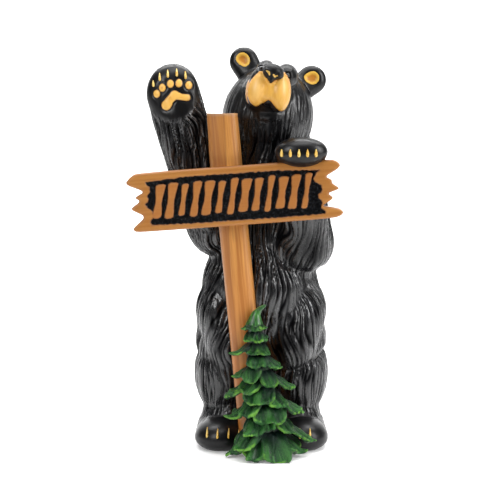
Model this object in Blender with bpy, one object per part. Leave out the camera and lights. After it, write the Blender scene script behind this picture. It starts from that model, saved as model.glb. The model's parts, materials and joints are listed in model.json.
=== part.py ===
"""A cast figure of a carved black bear that waves with one paw and holds a wooden sign with the other.

The figure is four pieces: the bear, the post it leans on its belly, the board fixed across the post,
and the small pine tree in front of the post's foot. The bear and the tree are free forms, drawn in
millimetres at the size in the comments and scaled to their own height. The post and the board are
joinery: they are sized by themselves and the bear's holding paw follows the board's top edge.

Metres, +Z up, the bear faces -Y. The origin is on the ground, in the middle of the bear's underside.
"""

import math

import bmesh
import bpy
from mathutils import Matrix, Vector, noise
from mathutils.bvhtree import BVHTree

# The bear, from its soles to the tip of its higher ear.
BEAR_HEIGHT = 0.420
BEAR_DRAWN_HEIGHT = 420.0
BEAR_TRIANGLES = 5250

# The post, a hewn rail that leans against the belly.
POST_WIDTH = 0.030
POST_DEPTH = 0.027
POST_HEIGHT = 0.350
POST_LEAN = math.radians(5.4)
POST_FOOT_SHIFT = 0.0066
POST_SINK = 0.010

# The board, nailed across the post at a right angle to it, its middle that far below the post's top.
BOARD_LENGTH = 0.216
BOARD_HEIGHT = 0.0594
BOARD_THICKNESS = 0.014
BOARD_TILT = math.radians(4.2)
BOARD_DROP = 0.0825
BOARD_OFFSET = 0.0045
BOARD_LAP = 0.002
PANEL_RIM = 0.0075
PANEL_DEPTH = 0.0026
STROKE_COUNT = 13
STROKE_ROW = 0.160
STROKE_SHIFT = 0.002
STROKE_HEIGHT = 0.032
STROKE_WIDTH = 0.0086
STROKE_LEAN = math.radians(12.0)
STROKE_DROP = 0.0003

# The pine tree, a half-round form against the post and the feet.
TREE_HEIGHT = 0.157
TREE_DRAWN_HEIGHT = 157.0
TREE_TRIANGLES = 2650
TREE_X = 0.0060
TREE_SETBACK = 0.004

# Between pieces that touch.
FIT_GAP = 0.0003

# Carving of the coat: the spacing, length and depth of its locks, as shares of the bear's height.
LOCK_WIDTH = 0.0215
LOCK_STRETCH = 6.5
LOCK_DEPTH = 0.0062

BODY_VOXEL = 0.0026
FORM_VOXEL = 0.0017
TREE_VOXEL = 0.0014
PAD_VOXEL = 0.0009
PAD_TRIANGLES = 160

COAT_BLACK = (0.022, 0.022, 0.024)
POST_BROWN = (0.55, 0.25, 0.08)
BOARD_BROWN = (0.58, 0.27, 0.09)
PINE_GREEN = (0.045, 0.16, 0.035)


def clear_scene():
    for old in list(bpy.data.objects):
        bpy.data.objects.remove(old)


def paint(name, colour, roughness):
    material = bpy.data.materials.new(name)
    material.use_nodes = True
    shader = material.node_tree.nodes["Principled BSDF"]
    shader.inputs["Base Color"].default_value = (*colour, 1.0)
    shader.inputs["Roughness"].default_value = roughness
    shader.inputs["Metallic"].default_value = 0.0
    return material


def object_from(name, bm):
    mesh = bpy.data.meshes.new(name)
    bm.to_mesh(mesh)
    bm.free()
    piece = bpy.data.objects.new(name, mesh)
    bpy.context.scene.collection.objects.link(piece)
    return piece


def bake_modifiers(piece):
    """Replaces the piece's mesh by what its modifiers make of it."""
    depsgraph = bpy.context.evaluated_depsgraph_get()
    mesh = bpy.data.meshes.new_from_object(piece.evaluated_get(depsgraph))
    piece.modifiers.clear()
    piece.data = mesh


# Modelling helpers for the free forms


def add_ball(bm, centre, radii, turn=(0.0, 0.0, 0.0), detail=3):
    """An ellipsoid, turned by degrees about X, Y and Z."""
    angles = [math.radians(a) for a in turn]
    spin = Matrix.Rotation(angles[2], 4, "Z") @ Matrix.Rotation(angles[1], 4, "Y")
    spin = spin @ Matrix.Rotation(angles[0], 4, "X")
    place = Matrix.Translation(centre) @ spin @ Matrix.Diagonal((*radii, 1.0))
    bmesh.ops.create_icosphere(bm, subdivisions=detail, radius=1.0, matrix=place)


def add_hull_chain(bm, balls, spin=Matrix(), detail=3):
    """Ellipsoids in a row, each given as (centre, radii), with the space between neighbours filled."""
    for pair in zip(balls, balls[1:]):
        part = bmesh.new()
        for centre, radii in pair:
            place = Matrix.Translation(centre) @ spin @ Matrix.Diagonal((*radii, 1.0))
            bmesh.ops.create_icosphere(part, subdivisions=detail, radius=1.0, matrix=place)
        hull = bmesh.ops.convex_hull(part, input=part.verts)
        spare = hull["geom_interior"] + hull["geom_unused"]
        inside = {e for e in spare if isinstance(e, bmesh.types.BMVert)}
        bmesh.ops.delete(part, geom=list(inside), context="VERTS")
        scratch = bpy.data.meshes.new("limb")
        part.to_mesh(scratch)
        part.free()
        bm.from_mesh(scratch)
        bpy.data.meshes.remove(scratch)


def add_limb(bm, *balls):
    add_hull_chain(bm, balls)


def fuse(piece, voxel, smoothing):
    """Melts the piece's overlapping forms into one skin, and softens it."""
    remesh = piece.modifiers.new("fuse", "REMESH")
    remesh.mode = "VOXEL"
    remesh.voxel_size = voxel
    smooth = piece.modifiers.new("soften", "SMOOTH")
    smooth.factor = 0.5
    smooth.iterations = smoothing
    bake_modifiers(piece)


def thin_out(piece, triangles, group=""):
    """Keeps about that many triangles, most of them where the form bends or the group is light."""
    triangulate = piece.modifiers.new("triangles", "TRIANGULATE")
    triangulate.quad_method = "BEAUTY"
    bake_modifiers(piece)
    decimate = piece.modifiers.new("thin out", "DECIMATE")
    decimate.ratio = triangles / len(piece.data.polygons)
    decimate.vertex_group = group
    decimate.vertex_group_factor = 0.25
    bake_modifiers(piece)


def cut(piece, cutter, operation="DIFFERENCE"):
    boolean = piece.modifiers.new(operation.lower(), "BOOLEAN")
    boolean.operation = operation
    boolean.object = cutter
    bake_modifiers(piece)


def prism(name, outline, low, high):
    """An outline of (x, z) points, extruded along Y from low to high."""
    bm = bmesh.new()
    corners = [bm.verts.new((x, low, z)) for x, z in outline]
    face = bm.faces.new(corners)
    wall = bmesh.ops.extrude_face_region(bm, geom=[face])
    moved = [e for e in wall["geom"] if isinstance(e, bmesh.types.BMVert)]
    bmesh.ops.translate(bm, vec=(0.0, high - low, 0.0), verts=moved)
    bmesh.ops.recalc_face_normals(bm, faces=bm.faces)
    return object_from(name, bm)


def slab(name, low, high):
    """A box between two corners."""
    bm = bmesh.new()
    size = Vector(high) - Vector(low)
    place = Matrix.Translation((Vector(low) + Vector(high)) / 2) @ Matrix.Diagonal((*size, 1.0))
    bmesh.ops.create_cube(bm, size=1.0, matrix=place)
    return object_from(name, bm)


# Where the joinery sits. The belly's front is drawn on the bear, and all depths follow from it.


def bear_scale():
    return BEAR_HEIGHT / BEAR_DRAWN_HEIGHT


def drawn(x, y, z):
    """A point of the bear's drawing, in metres."""
    return Vector((x, y, z)) * bear_scale()


BELLY_FRONT_Y = -58.0
POST_BACK_Y = BELLY_FRONT_Y * bear_scale() + POST_SINK
POST_FRONT_Y = POST_BACK_Y - POST_DEPTH
BOARD_BACK_Y = POST_FRONT_Y + BOARD_LAP
BOARD_FRONT_Y = BOARD_BACK_Y - BOARD_THICKNESS


def post_x(height):
    """The middle of the post's width at a height."""
    return -POST_FOOT_SHIFT - height * math.tan(POST_LEAN)


def board_point(along, up):
    """(x, z) of a point of the board's own face, from its centre."""
    middle_z = POST_HEIGHT - BOARD_DROP
    middle_x = post_x(middle_z) + BOARD_OFFSET
    x = middle_x + along * math.cos(BOARD_TILT) - up * math.sin(BOARD_TILT)
    z = middle_z + along * math.sin(BOARD_TILT) + up * math.cos(BOARD_TILT)
    return x, z


# The post


def post_section(grow):
    """The hewn section, two dressed faces in front that meet in a soft arris, as (x, y) points."""
    half = POST_WIDTH / 2 + grow
    front = POST_FRONT_Y - grow
    back = POST_BACK_Y + grow
    depth = back - front
    arris = 0.12 * half
    return [
        (-half, front + 0.13 * depth),
        (arris, front),
        (half, front + 0.18 * depth),
        (half, back - 0.16 * depth),
        (0.62 * half, back),
        (-0.62 * half, back),
        (-half, back - 0.16 * depth),
    ]


def make_post(name, grow=0.0, foot=0.0, top=POST_HEIGHT):
    bm = bmesh.new()
    rings = []
    for height in (foot, top):
        shift = post_x(height)
        verts = [bm.verts.new((shift + x, y, height)) for x, y in post_section(grow)]
        bm.faces.new(verts)
        rings.append([e for e in bm.edges if e.verts[0] in verts and e.verts[1] in verts])
    bmesh.ops.bridge_loops(bm, edges=rings[0] + rings[1])
    bmesh.ops.recalc_face_normals(bm, faces=bm.faces)
    return object_from(name, bm)


# The board. Its split ends are drawn as shares of half its length and half its height.

LEFT_SPLITS = (
    (0.905, 1.0), (1.0, 0.71), (0.865, 0.47), (0.818, 0.35), (0.925, 0.17), (0.89, 0.03),
    (0.974, -0.20), (0.837, -0.47), (0.968, -0.88), (0.913, -1.0),
)
RIGHT_SPLITS = (
    (0.946, -1.0), (1.0, -0.84), (0.974, -0.65), (0.842, -0.53), (0.923, -0.32), (0.876, -0.15),
    (0.979, 0.01), (0.910, 0.17), (0.860, 0.50), (1.0, 0.72), (0.973, 0.88), (0.904, 1.0),
)
LEFT_PANEL = ((0.831, 0.97), (0.758, 0.55), (0.80, 0.18), (0.825, -0.08), (0.748, -0.59), (0.79, -1.02))
RIGHT_PANEL = (
    (0.828, -1.01), (0.778, -0.61), (0.816, -0.39), (0.775, -0.20), (0.831, 0.15), (0.762, 0.46), (0.807, 0.92),
)


def board_outline(grow=0.0):
    long = BOARD_LENGTH / 2 + grow
    tall = BOARD_HEIGHT / 2 + grow
    left = [board_point(-s * long, t * tall) for s, t in LEFT_SPLITS]
    right = [board_point(s * long, t * tall) for s, t in RIGHT_SPLITS]
    return left + right


def plain_board_outline(grow):
    """The board's envelope without its splits, for the seat that its neighbours leave."""
    long = BOARD_LENGTH / 2 + grow
    tall = BOARD_HEIGHT / 2 + grow
    return [board_point(s * long, t * tall) for s, t in ((-1, 1), (-1, -1), (1, -1), (1, 1))]


def panel_outline():
    long = BOARD_LENGTH / 2
    tall = BOARD_HEIGHT / 2 - PANEL_RIM
    left = [board_point(-s * long, t * tall) for s, t in LEFT_PANEL]
    right = [board_point(s * long, t * tall) for s, t in RIGHT_PANEL]
    return left + right


def stroke_outline(index):
    """One leaning chisel stroke of the panel's row, waisted in the middle and flared at its ends."""
    pitch = STROKE_ROW / STROKE_COUNT
    middle = -STROKE_ROW / 2 + (index + 0.5) * pitch - STROKE_SHIFT
    tall = STROKE_HEIGHT / 2 * (1.0 + 0.06 * math.sin(2.3 * index))
    wide = STROKE_WIDTH / 2 * (1.0 + 0.12 * math.sin(1.7 * index + 0.6))
    shape = ((-1.0, 0.9), (-0.72, 1.0), (0.0, 0.62), (0.68, 1.0), (1.0, 1.12))
    right = [(wide * w, tall * t) for t, w in shape]
    left = [(-wide * w, tall * t) for t, w in reversed(shape)]
    lean = math.tan(STROKE_LEAN)
    return [board_point(middle + s + t * lean, t) for s, t in right + left]


def make_board(name):
    board = prism(name, board_outline(), BOARD_FRONT_Y, BOARD_BACK_Y)
    recess_floor = BOARD_FRONT_Y + PANEL_DEPTH
    recess = prism("panel recess", panel_outline(), BOARD_FRONT_Y - PANEL_DEPTH, recess_floor)
    cut(board, recess)
    bpy.data.objects.remove(recess)
    for index in range(STROKE_COUNT):
        low, high = BOARD_FRONT_Y + STROKE_DROP, recess_floor + PANEL_DEPTH
        stroke = prism("stroke", stroke_outline(index), low, high)
        cut(board, stroke, "UNION")
        bpy.data.objects.remove(stroke)
    return board


# The bear's masses


def bear_ball(bm, centre, radii, turn=(0.0, 0.0, 0.0)):
    add_ball(bm, drawn(*centre), [r * bear_scale() for r in radii], turn)


def bear_limb(bm, *balls):
    scaled = [(drawn(*centre), [r * bear_scale() for r in radii]) for centre, radii in balls]
    add_limb(bm, *scaled)


def add_trunk(bm):
    """Hips, belly, chest and neck."""
    bear_limb(
        bm,
        ((-1, 2, 130), (70, 53, 54)),
        ((0, 1, 215), (51, 47, 52)),
        ((2, 0, 270), (49, 43, 42)),
        ((5, -2, 318), (44, 42, 40)),
    )
    bear_ball(bm, (0, -13, 165), (52, 44, 50))


def add_legs(bm):
    for side in (-1, 1):
        bear_ball(bm, (side * 36.5, -2, 72), (36.5, 46, 52))
        bear_ball(bm, (side * 34, -6, 24), (31, 42, 27))
        bear_limb(
            bm,
            ((side * 46, -6, 140), (25, 38, 34)),
            ((side * 29, -24, 106), (30, 32, 34)),
        )
    bear_ball(bm, (0, 6, 30), (56, 44, 42))
    bear_ball(bm, (0, 10, 84), (40, 39, 44))


def add_feet(bm):
    for side in (-1, 1):
        bear_limb(
            bm,
            ((side * 39, 4, 14), (30, 34, 20)),
            ((side * 41.5, -46, 11), (29, 30, 20)),
        )


def add_waving_arm(bm):
    """The bear's right arm: the elbow low at its side, the forearm up, the palm to the front."""
    bear_limb(
        bm,
        ((-36, -2, 272), (25, 27, 30)),
        ((-53, -14, 233), (28, 27, 28)),
    )
    bear_limb(
        bm,
        ((-54, -15, 232), (27, 26, 27)),
        ((-73, -27, 288), (22.5, 22, 26)),
        ((-84, -30, 340), (27.5, 20, 28)),
        ((-91.5, -32, 370), (28, 18, 30)),
    )


def paw_grip():
    """Where the holding paw closes over the board's top edge, in metres."""
    along = 0.315 * BOARD_LENGTH
    x, z = board_point(along, BOARD_HEIGHT / 2)
    return Vector((x, BOARD_FRONT_Y, z))


def add_holding_arm(bm):
    """The bear's left arm: down to the elbow, then up behind the board to the paw."""
    scale = bear_scale()
    wrist = paw_grip() + Vector((-2.0, 26.0, -22.0)) * scale
    bear_limb(
        bm,
        ((40, 0, 275), (27, 28, 32)),
        ((49, -8, 214), (28, 29, 31)),
    )
    elbow = (drawn(41, -22, 213), [r * scale for r in (31, 29, 31)])
    add_limb(bm, elbow, (wrist, [r * scale for r in (25, 22, 26)]))


def add_holding_paw(bm):
    scale = bear_scale()
    grip = paw_grip()
    paw = grip + Vector((0.0, 3.0, 8.0)) * scale
    wrist = grip + Vector((-2.0, 24.0, -8.0)) * scale
    add_limb(bm, (wrist, [r * scale for r in (23, 17, 20)]), (paw, [r * scale for r in (25, 16.5, 16)]))


def add_head(bm):
    """The skull leans to the bear's left and is thrown back, so that the muzzle points up."""
    bear_ball(bm, (7, -2, 349), (48.5, 48, 58), (0, 11, 0))
    bear_ball(bm, (7, 0, 322), (45, 44, 46))
    for x, z, wide in ((1, 390, 16), (27, 386, 14.5)):
        bear_ball(bm, (x, -33, z), (wide, 18, 14.5), (0, 14, 0))


def add_face(bm):
    """The muzzle with its two hanging lips, the mouth below them and the nose on top."""
    bear_limb(bm, ((7, -38, 368), (24, 22, 25)), ((8, -62, 378), (15, 14, 14)))
    bear_ball(bm, (-3.5, -61, 376.5), (12, 17, 22), (-14, 17, 0))
    bear_ball(bm, (17.5, -61, 371.5), (12, 17, 21.5), (-14, 2, 0))
    bear_ball(bm, (7, -44, 350), (19, 15, 13))
    bear_ball(bm, (12, -70, 391), (11.5, 10.5, 8), (0, 14, 0))
    bear_ball(bm, (9, -74, 385), (6, 7, 6.5))


def add_ears(bm):
    bear_limb(bm, ((-9, 4, 388), (14, 10, 15)), ((-18.5, 6, 404.5), (15.5, 8.5, 15.5)))
    bear_limb(bm, ((42, 4, 376), (14, 10, 15)), ((53.5, 6, 385), (16, 8.5, 15.5)))


# Small raised work. Each row is (x, z), then the radii, and the form is set into the bear's front.

WAVING_CLAWS = ((-111.0, 380.0), (-104.3, 386.5), (-96.0, 389.8), (-86.8, 391.0), (-77.8, 388.4))
WAVING_TOES = ((-107.6, 369.6), (-101.7, 375.8), (-93.3, 379.8), (-84.6, 380.4), (-74.6, 378.3))
PALM_PAD = ((-97.5, 357.5, 5.4), (-93.5, 363.0, 4.4), (-88.8, 368.2, 4.6), (-82.0, 366.0, 3.4), (-76.5, 366.0, 3.6))
EYES = ((-0.5, 397.0), (27.2, 390.6))
FOOT_CLAWS = (-56.7, -45.7, -34.2, -23.6, -14.0, 11.0, 19.5, 29.0, 39.5, 50.1)
CLAW_SIZE = (1.7, 3.0, 5.0)


def paw_claws():
    """(x, z) of the holding paw's claws, which follow the board."""
    grip = paw_grip() / bear_scale()
    return [(grip.x + 8.5 * (step - 2) - 2.5, grip.z + 8.4) for step in range(5)]


def raised_work():
    """(x, z, radii) of the claws, pads and eyes, in drawing millimetres."""
    found = [(x, z, CLAW_SIZE) for x, z in (*WAVING_CLAWS, *paw_claws())]
    found += [(x, 23.0, (1.7, 3.2, 5.6)) for x in FOOT_CLAWS]
    found += [(x, z, (4.0, 3.0, 4.8)) for x, z in WAVING_TOES]
    found += [(x, z, (3.0, 3.0, 3.0)) for x, z in EYES]
    return found


def front_of(skin, x, z):
    """The place on the bear's skin that faces the front at (x, z) of the drawing."""
    return skin.ray_cast(drawn(x, -BEAR_DRAWN_HEIGHT, z), Vector((0.0, 1.0, 0.0)))[0]


def skin_of(bear):
    return BVHTree.FromPolygons([v.co for v in bear.data.vertices], [p.vertices for p in bear.data.polygons])


def make_raised_work(bear):
    """The claws, toe pads and eyes, each partly sunk into the skin that faces the front at its place."""
    scale = bear_scale()
    skin = skin_of(bear)
    bm = bmesh.new()
    for x, z, radii in raised_work():
        place = front_of(skin, x, z) + Vector((0.0, 0.25 * radii[1] * scale, 0.0))
        add_ball(bm, place, [r * scale for r in radii], detail=1)
    return object_from("raised work", bm)


def make_palm_pad(bear):
    """The bent pad across the waving palm."""
    scale = bear_scale()
    skin = skin_of(bear)
    row = []
    for x, z, radius in PALM_PAD:
        place = front_of(skin, x, z) + Vector((0.0, 0.8 * scale, 0.0))
        row.append((place, [r * scale for r in (radius, 2.6, radius)]))
    bm = bmesh.new()
    add_hull_chain(bm, row, detail=2)
    pad = object_from("palm pad", bm)
    fuse(pad, PAD_VOXEL, 1)
    thin_out(pad, PAD_TRIANGLES)
    return pad


# The coat. Locks run along the trunk and along each arm, and fade on the smooth parts.

COAT_RUNS = (
    ((0, 0, 150), (95, 90, 150), (0.02, 0.0, 1.0)),
    ((7, 0, 350), (60, 60, 60), (0.15, 0.25, 1.0)),
    ((-78, -26, 300), (34, 40, 110), (-0.27, -0.08, 1.0)),
    ((48, -20, 225), (34, 40, 45), (0.10, -0.25, 1.0)),
    ((40, -30, 60), (34, 40, 60), (0.22, 0.0, 1.0)),
    ((-40, -30, 60), (34, 40, 60), (-0.10, 0.0, 1.0)),
)
FINE_PLACES = (
    ((8, -60, 378), 34),
    ((-19, 4, 404), 17),
    ((53, 4, 385), 17),
)
SMOOTH_PLACES = (
    ((7, -62, 374), 30),
    ((-93, -46, 372), 31),
    ((-19.5, 0, 405), 20),
    ((53.5, 0, 385), 20),
    ((-41, -60, 8), 33),
    ((41, -60, 8), 33),
    ((27, -48, 390), 10),
    ((0, -48, 396), 10),
)


def lock_height(place, run, width):
    """From 0 in a cut to 1 on a lock's crest, at a place in drawing millimetres."""
    along = Vector(run).normalized()
    across = along.cross(Vector((0.0, 1.0, 0.0))).normalized()
    outward = across.cross(along)
    sway = noise.noise(place / 34.0) * 0.9 * width
    ripple = noise.noise(place / 15.0 + Vector((9.0, 4.0, 2.0))) * 0.35 * width
    sample = Vector((
        (place.dot(across) + sway + ripple) / width,
        (place.dot(outward) + sway) / width,
        place.dot(along) / (width * LOCK_STRETCH),
    ))
    return 1.0 - min(1.0, abs(noise.noise(sample)) * 2.4)


def smoothness(place, paw):
    """1 where the surface has no locks, 0 in the full coat."""
    most = 0.0
    for centre, reach in (*SMOOTH_PLACES, (paw, 30)):
        distance = (place - Vector(centre)).length / reach
        most = max(most, min(1.0, max(0.0, (1.15 - distance) / 0.35)))
    return most


def carve_coat(piece):
    scale = bear_scale()
    width = LOCK_WIDTH * BEAR_DRAWN_HEIGHT
    depth = LOCK_DEPTH * BEAR_HEIGHT
    paw = paw_grip() / scale + Vector((0.0, -4.0, 8.0))
    mesh = piece.data
    normals = [v.normal.copy() for v in mesh.vertices]
    for vert, normal in zip(mesh.vertices, normals):
        place = vert.co / scale
        full = 1.0 - smoothness(place, paw)
        full *= 1.0 - 0.5 * min(1.0, max(0.0, (place.z - 325.0) / 30.0))
        if full <= 0.0 or place.z < 4.0:
            continue
        total = 0.0
        height = 0.0
        for centre, reach, run in COAT_RUNS:
            away = Vector((place[i] - centre[i]) / reach[i] for i in range(3))
            weight = math.exp(-2.5 * away.length_squared)
            if weight > 0.02:
                total += weight
                height += weight * lock_height(place, run, width)
        if total > 0.0:
            vert.co -= normal * depth * full * (1.0 - height / total)


def hollow_ears(piece):
    """Presses the dish of each ear into its front."""
    scale = bear_scale()
    for x, z, wide, tall in ((-20.5, 405.5, 9.0, 9.5), (54.0, 386.5, 9.5, 8.5)):
        for vert in piece.data.vertices:
            place = vert.co / scale
            away = ((place.x - x) / wide) ** 2 + ((place.z - z) / tall) ** 2
            if away < 1.0 and place.y < 6.0:
                vert.co.y += 4.0 * scale * (1.0 - away)


def make_bear_form(name):
    """The whole bear as one dense skin, with its coat carved."""
    bm = bmesh.new()
    add_trunk(bm)
    add_legs(bm)
    add_waving_arm(bm)
    add_holding_arm(bm)
    bear = object_from(name, bm)
    fuse(bear, BODY_VOXEL, 5)
    bm = bmesh.new()
    bm.from_mesh(bear.data)
    add_feet(bm)
    add_holding_paw(bm)
    add_head(bm)
    add_face(bm)
    add_ears(bm)
    bm.to_mesh(bear.data)
    bm.free()
    fuse(bear, FORM_VOXEL, 4)
    carve_coat(bear)
    hollow_ears(bear)
    return bear


def mark_plain_places(bear):
    """Weights the skin by how far it is from the face, ears and paws, where the detail is kept."""
    group = bear.vertex_groups.new(name="plain")
    for vert in bear.data.vertices:
        weight = 1.0
        for centre, reach in FINE_PLACES:
            distance = (vert.co / bear_scale() - Vector(centre)).length
            weight = min(weight, max(0.72, (distance - 0.7 * reach) / (0.6 * reach)))
        group.add([vert.index], weight, "REPLACE")


def make_bear(name):
    bear = make_bear_form(name)
    raised = make_raised_work(bear)
    pad = make_palm_pad(bear)
    mark_plain_places(bear)
    thin_out(bear, BEAR_TRIANGLES, "plain")
    for form in (raised, pad):
        cut(bear, form, "UNION")
    reach = BEAR_HEIGHT
    ground = slab("ground", (-reach, -reach, -reach), (reach, reach, 0.0))
    board_seat = prism("board seat", plain_board_outline(FIT_GAP), BOARD_FRONT_Y - FIT_GAP, BOARD_BACK_Y + FIT_GAP)
    post_seat = make_post("post seat", FIT_GAP, -reach, POST_HEIGHT + FIT_GAP)
    for cutter in (ground, board_seat, post_seat):
        cut(bear, cutter)
    for guide in (raised, pad, ground, board_seat, post_seat):
        bpy.data.objects.remove(guide)
    return bear


# The tree. Each bough is (x of its tip, height of its tip, half its width), from the ground up.

TREE_BOUGHS = (
    (-35.0, 3.0, 9.0), (-25.0, 10.0, 11.5), (-4.8, 1.0, 12.0), (19.5, 1.0, 15.0), (42.0, 5.0, 11.5), (52.0, 16.0, 7.5),
    (-13.0, 25.0, 11.0), (8.5, 32.0, 5.5), (32.0, 26.0, 9.0), (-36.0, 39.5, 8.5), (10.5, 38.0, 14.5), (41.0, 45.0, 9.0),
    (-18.0, 45.0, 9.0), (-35.5, 61.5, 6.5), (-30.5, 66.0, 6.0), (-4.0, 57.0, 13.5), (19.5, 53.5, 10.5), (33.5, 70.0, 6.5),
    (-18.0, 68.0, 9.0), (12.0, 74.0, 8.0), (-28.0, 81.5, 6.5), (-15.0, 80.0, 8.5), (-4.5, 93.0, 9.5), (18.0, 91.0, 8.5),
    (-30.5, 104.5, 8.0), (-13.0, 106.5, 6.0), (-4.0, 105.5, 7.0), (5.5, 105.0, 5.5), (-17.0, 120.0, 5.5),
    (-5.0, 118.5, 7.0), (7.0, 119.5, 5.0), (-20.5, 130.5, 4.5), (-6.5, 130.0, 7.0), (4.0, 131.0, 4.5),
)
TREE_FOOT_REACH = 47.0
TREE_TAPER = 0.255
TREE_BEND = 0.10


def tree_scale():
    return TREE_HEIGHT / TREE_DRAWN_HEIGHT


def tree_reach(height):
    """How far the boughs reach from the trunk at a height."""
    return TREE_FOOT_REACH - TREE_TAPER * height


def tree_point(share, angle, height, reach):
    """A point at a share of a reach from the trunk, the angle running from its left round the front."""
    scale = tree_scale()
    turn = math.pi + angle
    x = TREE_X + (share * reach * math.cos(turn) - TREE_BEND * height) * scale
    y = POST_FRONT_Y + (0.86 * share * reach * math.sin(turn) - 3.0) * scale
    return Vector((x, y, height * scale))


def add_bough(bm, tip_x, height, wide):
    """A drooping bough, broad and thin at its rounded lip."""
    scale = tree_scale()
    away = (tip_x * scale - TREE_X) / scale + TREE_BEND * height
    reach = max(tree_reach(height) * (0.94 + 0.06 * math.sin(7.0 * tip_x)), abs(away) + 0.1 * wide)
    angle = math.acos(-away / reach)
    wide *= 1.12
    slope = 0.46 + 0.26 * math.sin(angle)
    path = ((0.14, 1.0, 0.62, 6.0), (0.64, 0.42, 1.0, 4.4), (0.90, 0.04, 0.95, 3.0), (1.0, 0.0, 0.5, 1.8))
    spin = Matrix.Rotation(math.pi / 2 + angle, 4, "Z")
    balls = []
    for share, rise, width, thick in path:
        place = tree_point(share, angle, height + rise * slope * reach, reach)
        place.z = max(place.z, thick * 0.6 * scale)
        balls.append((place, [r * scale for r in (wide * width, thick, thick)]))
    add_hull_chain(bm, balls, spin, 2)


def add_tree_core(bm):
    scale = tree_scale()
    row = []
    for height in (6.0, 40.0, 80.0, 118.0, 134.0):
        radius = 0.54 * tree_reach(height)
        row.append((tree_point(0.0, 0.0, height, 0.0), [radius * scale, 0.86 * radius * scale, 8.0 * scale]))
    add_limb(bm, *row)


def add_tree_tip(bm):
    """The leader, a slim cone that bends to the right."""
    scale = tree_scale()
    skirt = (tree_point(0.0, 0.0, 136.0, 0.0), [r * scale for r in (9.0, 8.5, 5.0)])
    middle = (tree_point(0.0, 0.0, 146.0, 0.0) + Vector((2.5, 0.0, 0.0)) * scale, [4.6 * scale] * 3)
    point = (tree_point(0.0, 0.0, 155.2, 0.0) + Vector((12.5, 0.0, 0.0)) * scale, [1.7 * scale] * 3)
    bent = (tree_point(0.0, 0.0, 152.0, 0.0) + Vector((7.5, 0.0, 0.0)) * scale, [2.6 * scale] * 3)
    add_limb(bm, skirt, middle, bent, point)


def make_tree(name, bear, post_seat):
    bm = bmesh.new()
    for bough in TREE_BOUGHS:
        add_bough(bm, *bough)
    add_tree_core(bm)
    add_tree_tip(bm)
    tree = object_from(name, bm)
    fuse(tree, TREE_VOXEL, 2)
    thin_out(tree, TREE_TRIANGLES)
    reach = BEAR_HEIGHT
    ground = slab("ground", (-reach, -reach, -reach), (reach, reach, 0.0))
    behind = slab("behind", (-reach, POST_FRONT_Y + TREE_SETBACK, -reach), (reach, reach, reach))
    clearance = bear.copy()
    clearance.data = bear.data.copy()
    bpy.context.scene.collection.objects.link(clearance)
    swell = clearance.modifiers.new("clearance", "DISPLACE")
    swell.mid_level = 0.0
    swell.strength = FIT_GAP
    bake_modifiers(clearance)
    for cutter in (ground, behind, post_seat, clearance):
        cut(tree, cutter)
    for guide in (ground, behind, clearance):
        bpy.data.objects.remove(guide)
    return tree


def build():
    clear_scene()
    bear = make_bear("bear")
    bear.data.materials.append(paint("coat_paint", COAT_BLACK, 0.36))

    post = make_post("sign_post")
    lap = prism("lap", plain_board_outline(FIT_GAP), BOARD_FRONT_Y, BOARD_BACK_Y + FIT_GAP)
    cut(post, lap)
    bpy.data.objects.remove(lap)
    post.data.materials.append(paint("post_wood", POST_BROWN, 0.42))

    board = make_board("sign_board")
    board.data.materials.append(paint("board_wood", BOARD_BROWN, 0.42))

    post_seat = make_post("post seat", FIT_GAP, -BEAR_HEIGHT, POST_HEIGHT + FIT_GAP)
    tree = make_tree("pine_tree", bear, post_seat)
    bpy.data.objects.remove(post_seat)
    tree.data.materials.append(paint("pine_paint", PINE_GREEN, 0.40))


build()
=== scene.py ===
# %% [markdown]
# # A chainsaw-carved bear with a sign
#
# The object is a cast resin figure, painted to look like a black bear that was cut from a log with a
# chainsaw. It waves with one paw and holds a wooden board with the other. The board is fixed across a
# post, and a small pine stands in front of the post's foot.
#
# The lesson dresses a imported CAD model. The frame gives the real places and sizes, and each new piece
# takes the place of one plain solid, or is set onto one.

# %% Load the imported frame
import json
import math

import bmesh
import bpy
import numpy as np
from mathutils import Matrix, Vector, noise
from mathutils.bvhtree import BVHTree
from mathutils.kdtree import KDTree

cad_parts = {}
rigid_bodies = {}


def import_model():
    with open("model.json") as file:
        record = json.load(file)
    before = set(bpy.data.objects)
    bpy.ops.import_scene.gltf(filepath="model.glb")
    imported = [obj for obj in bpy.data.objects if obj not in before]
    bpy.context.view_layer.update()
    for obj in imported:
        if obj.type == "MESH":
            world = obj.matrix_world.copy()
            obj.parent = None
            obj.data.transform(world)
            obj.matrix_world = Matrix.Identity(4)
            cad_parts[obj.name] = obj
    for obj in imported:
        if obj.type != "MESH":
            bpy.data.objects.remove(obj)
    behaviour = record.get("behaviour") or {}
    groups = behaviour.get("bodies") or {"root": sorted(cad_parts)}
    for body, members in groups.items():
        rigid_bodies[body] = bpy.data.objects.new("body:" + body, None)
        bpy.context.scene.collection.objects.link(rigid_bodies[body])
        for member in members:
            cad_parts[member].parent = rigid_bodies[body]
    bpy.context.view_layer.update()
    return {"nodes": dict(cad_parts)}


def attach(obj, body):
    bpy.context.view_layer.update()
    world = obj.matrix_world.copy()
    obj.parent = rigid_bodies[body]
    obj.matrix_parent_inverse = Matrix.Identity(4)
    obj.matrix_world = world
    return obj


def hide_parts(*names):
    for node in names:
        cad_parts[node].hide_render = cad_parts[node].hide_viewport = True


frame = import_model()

print("CAD nodes:", ", ".join(sorted(frame["nodes"])))

# %% [markdown]
# ## Studio
#
# The figure was photographed on a white table with large soft lights, from a little above the post's
# top. A long lens keeps the figure's lines straight. A pale floor that sweeps up behind gives the same
# even light, and it glows a little, as a light table does. Tall soft boxes on both sides draw long streaks
# on the satin black coat. The room behind the camera is dark, which keeps the black paint black.

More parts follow.
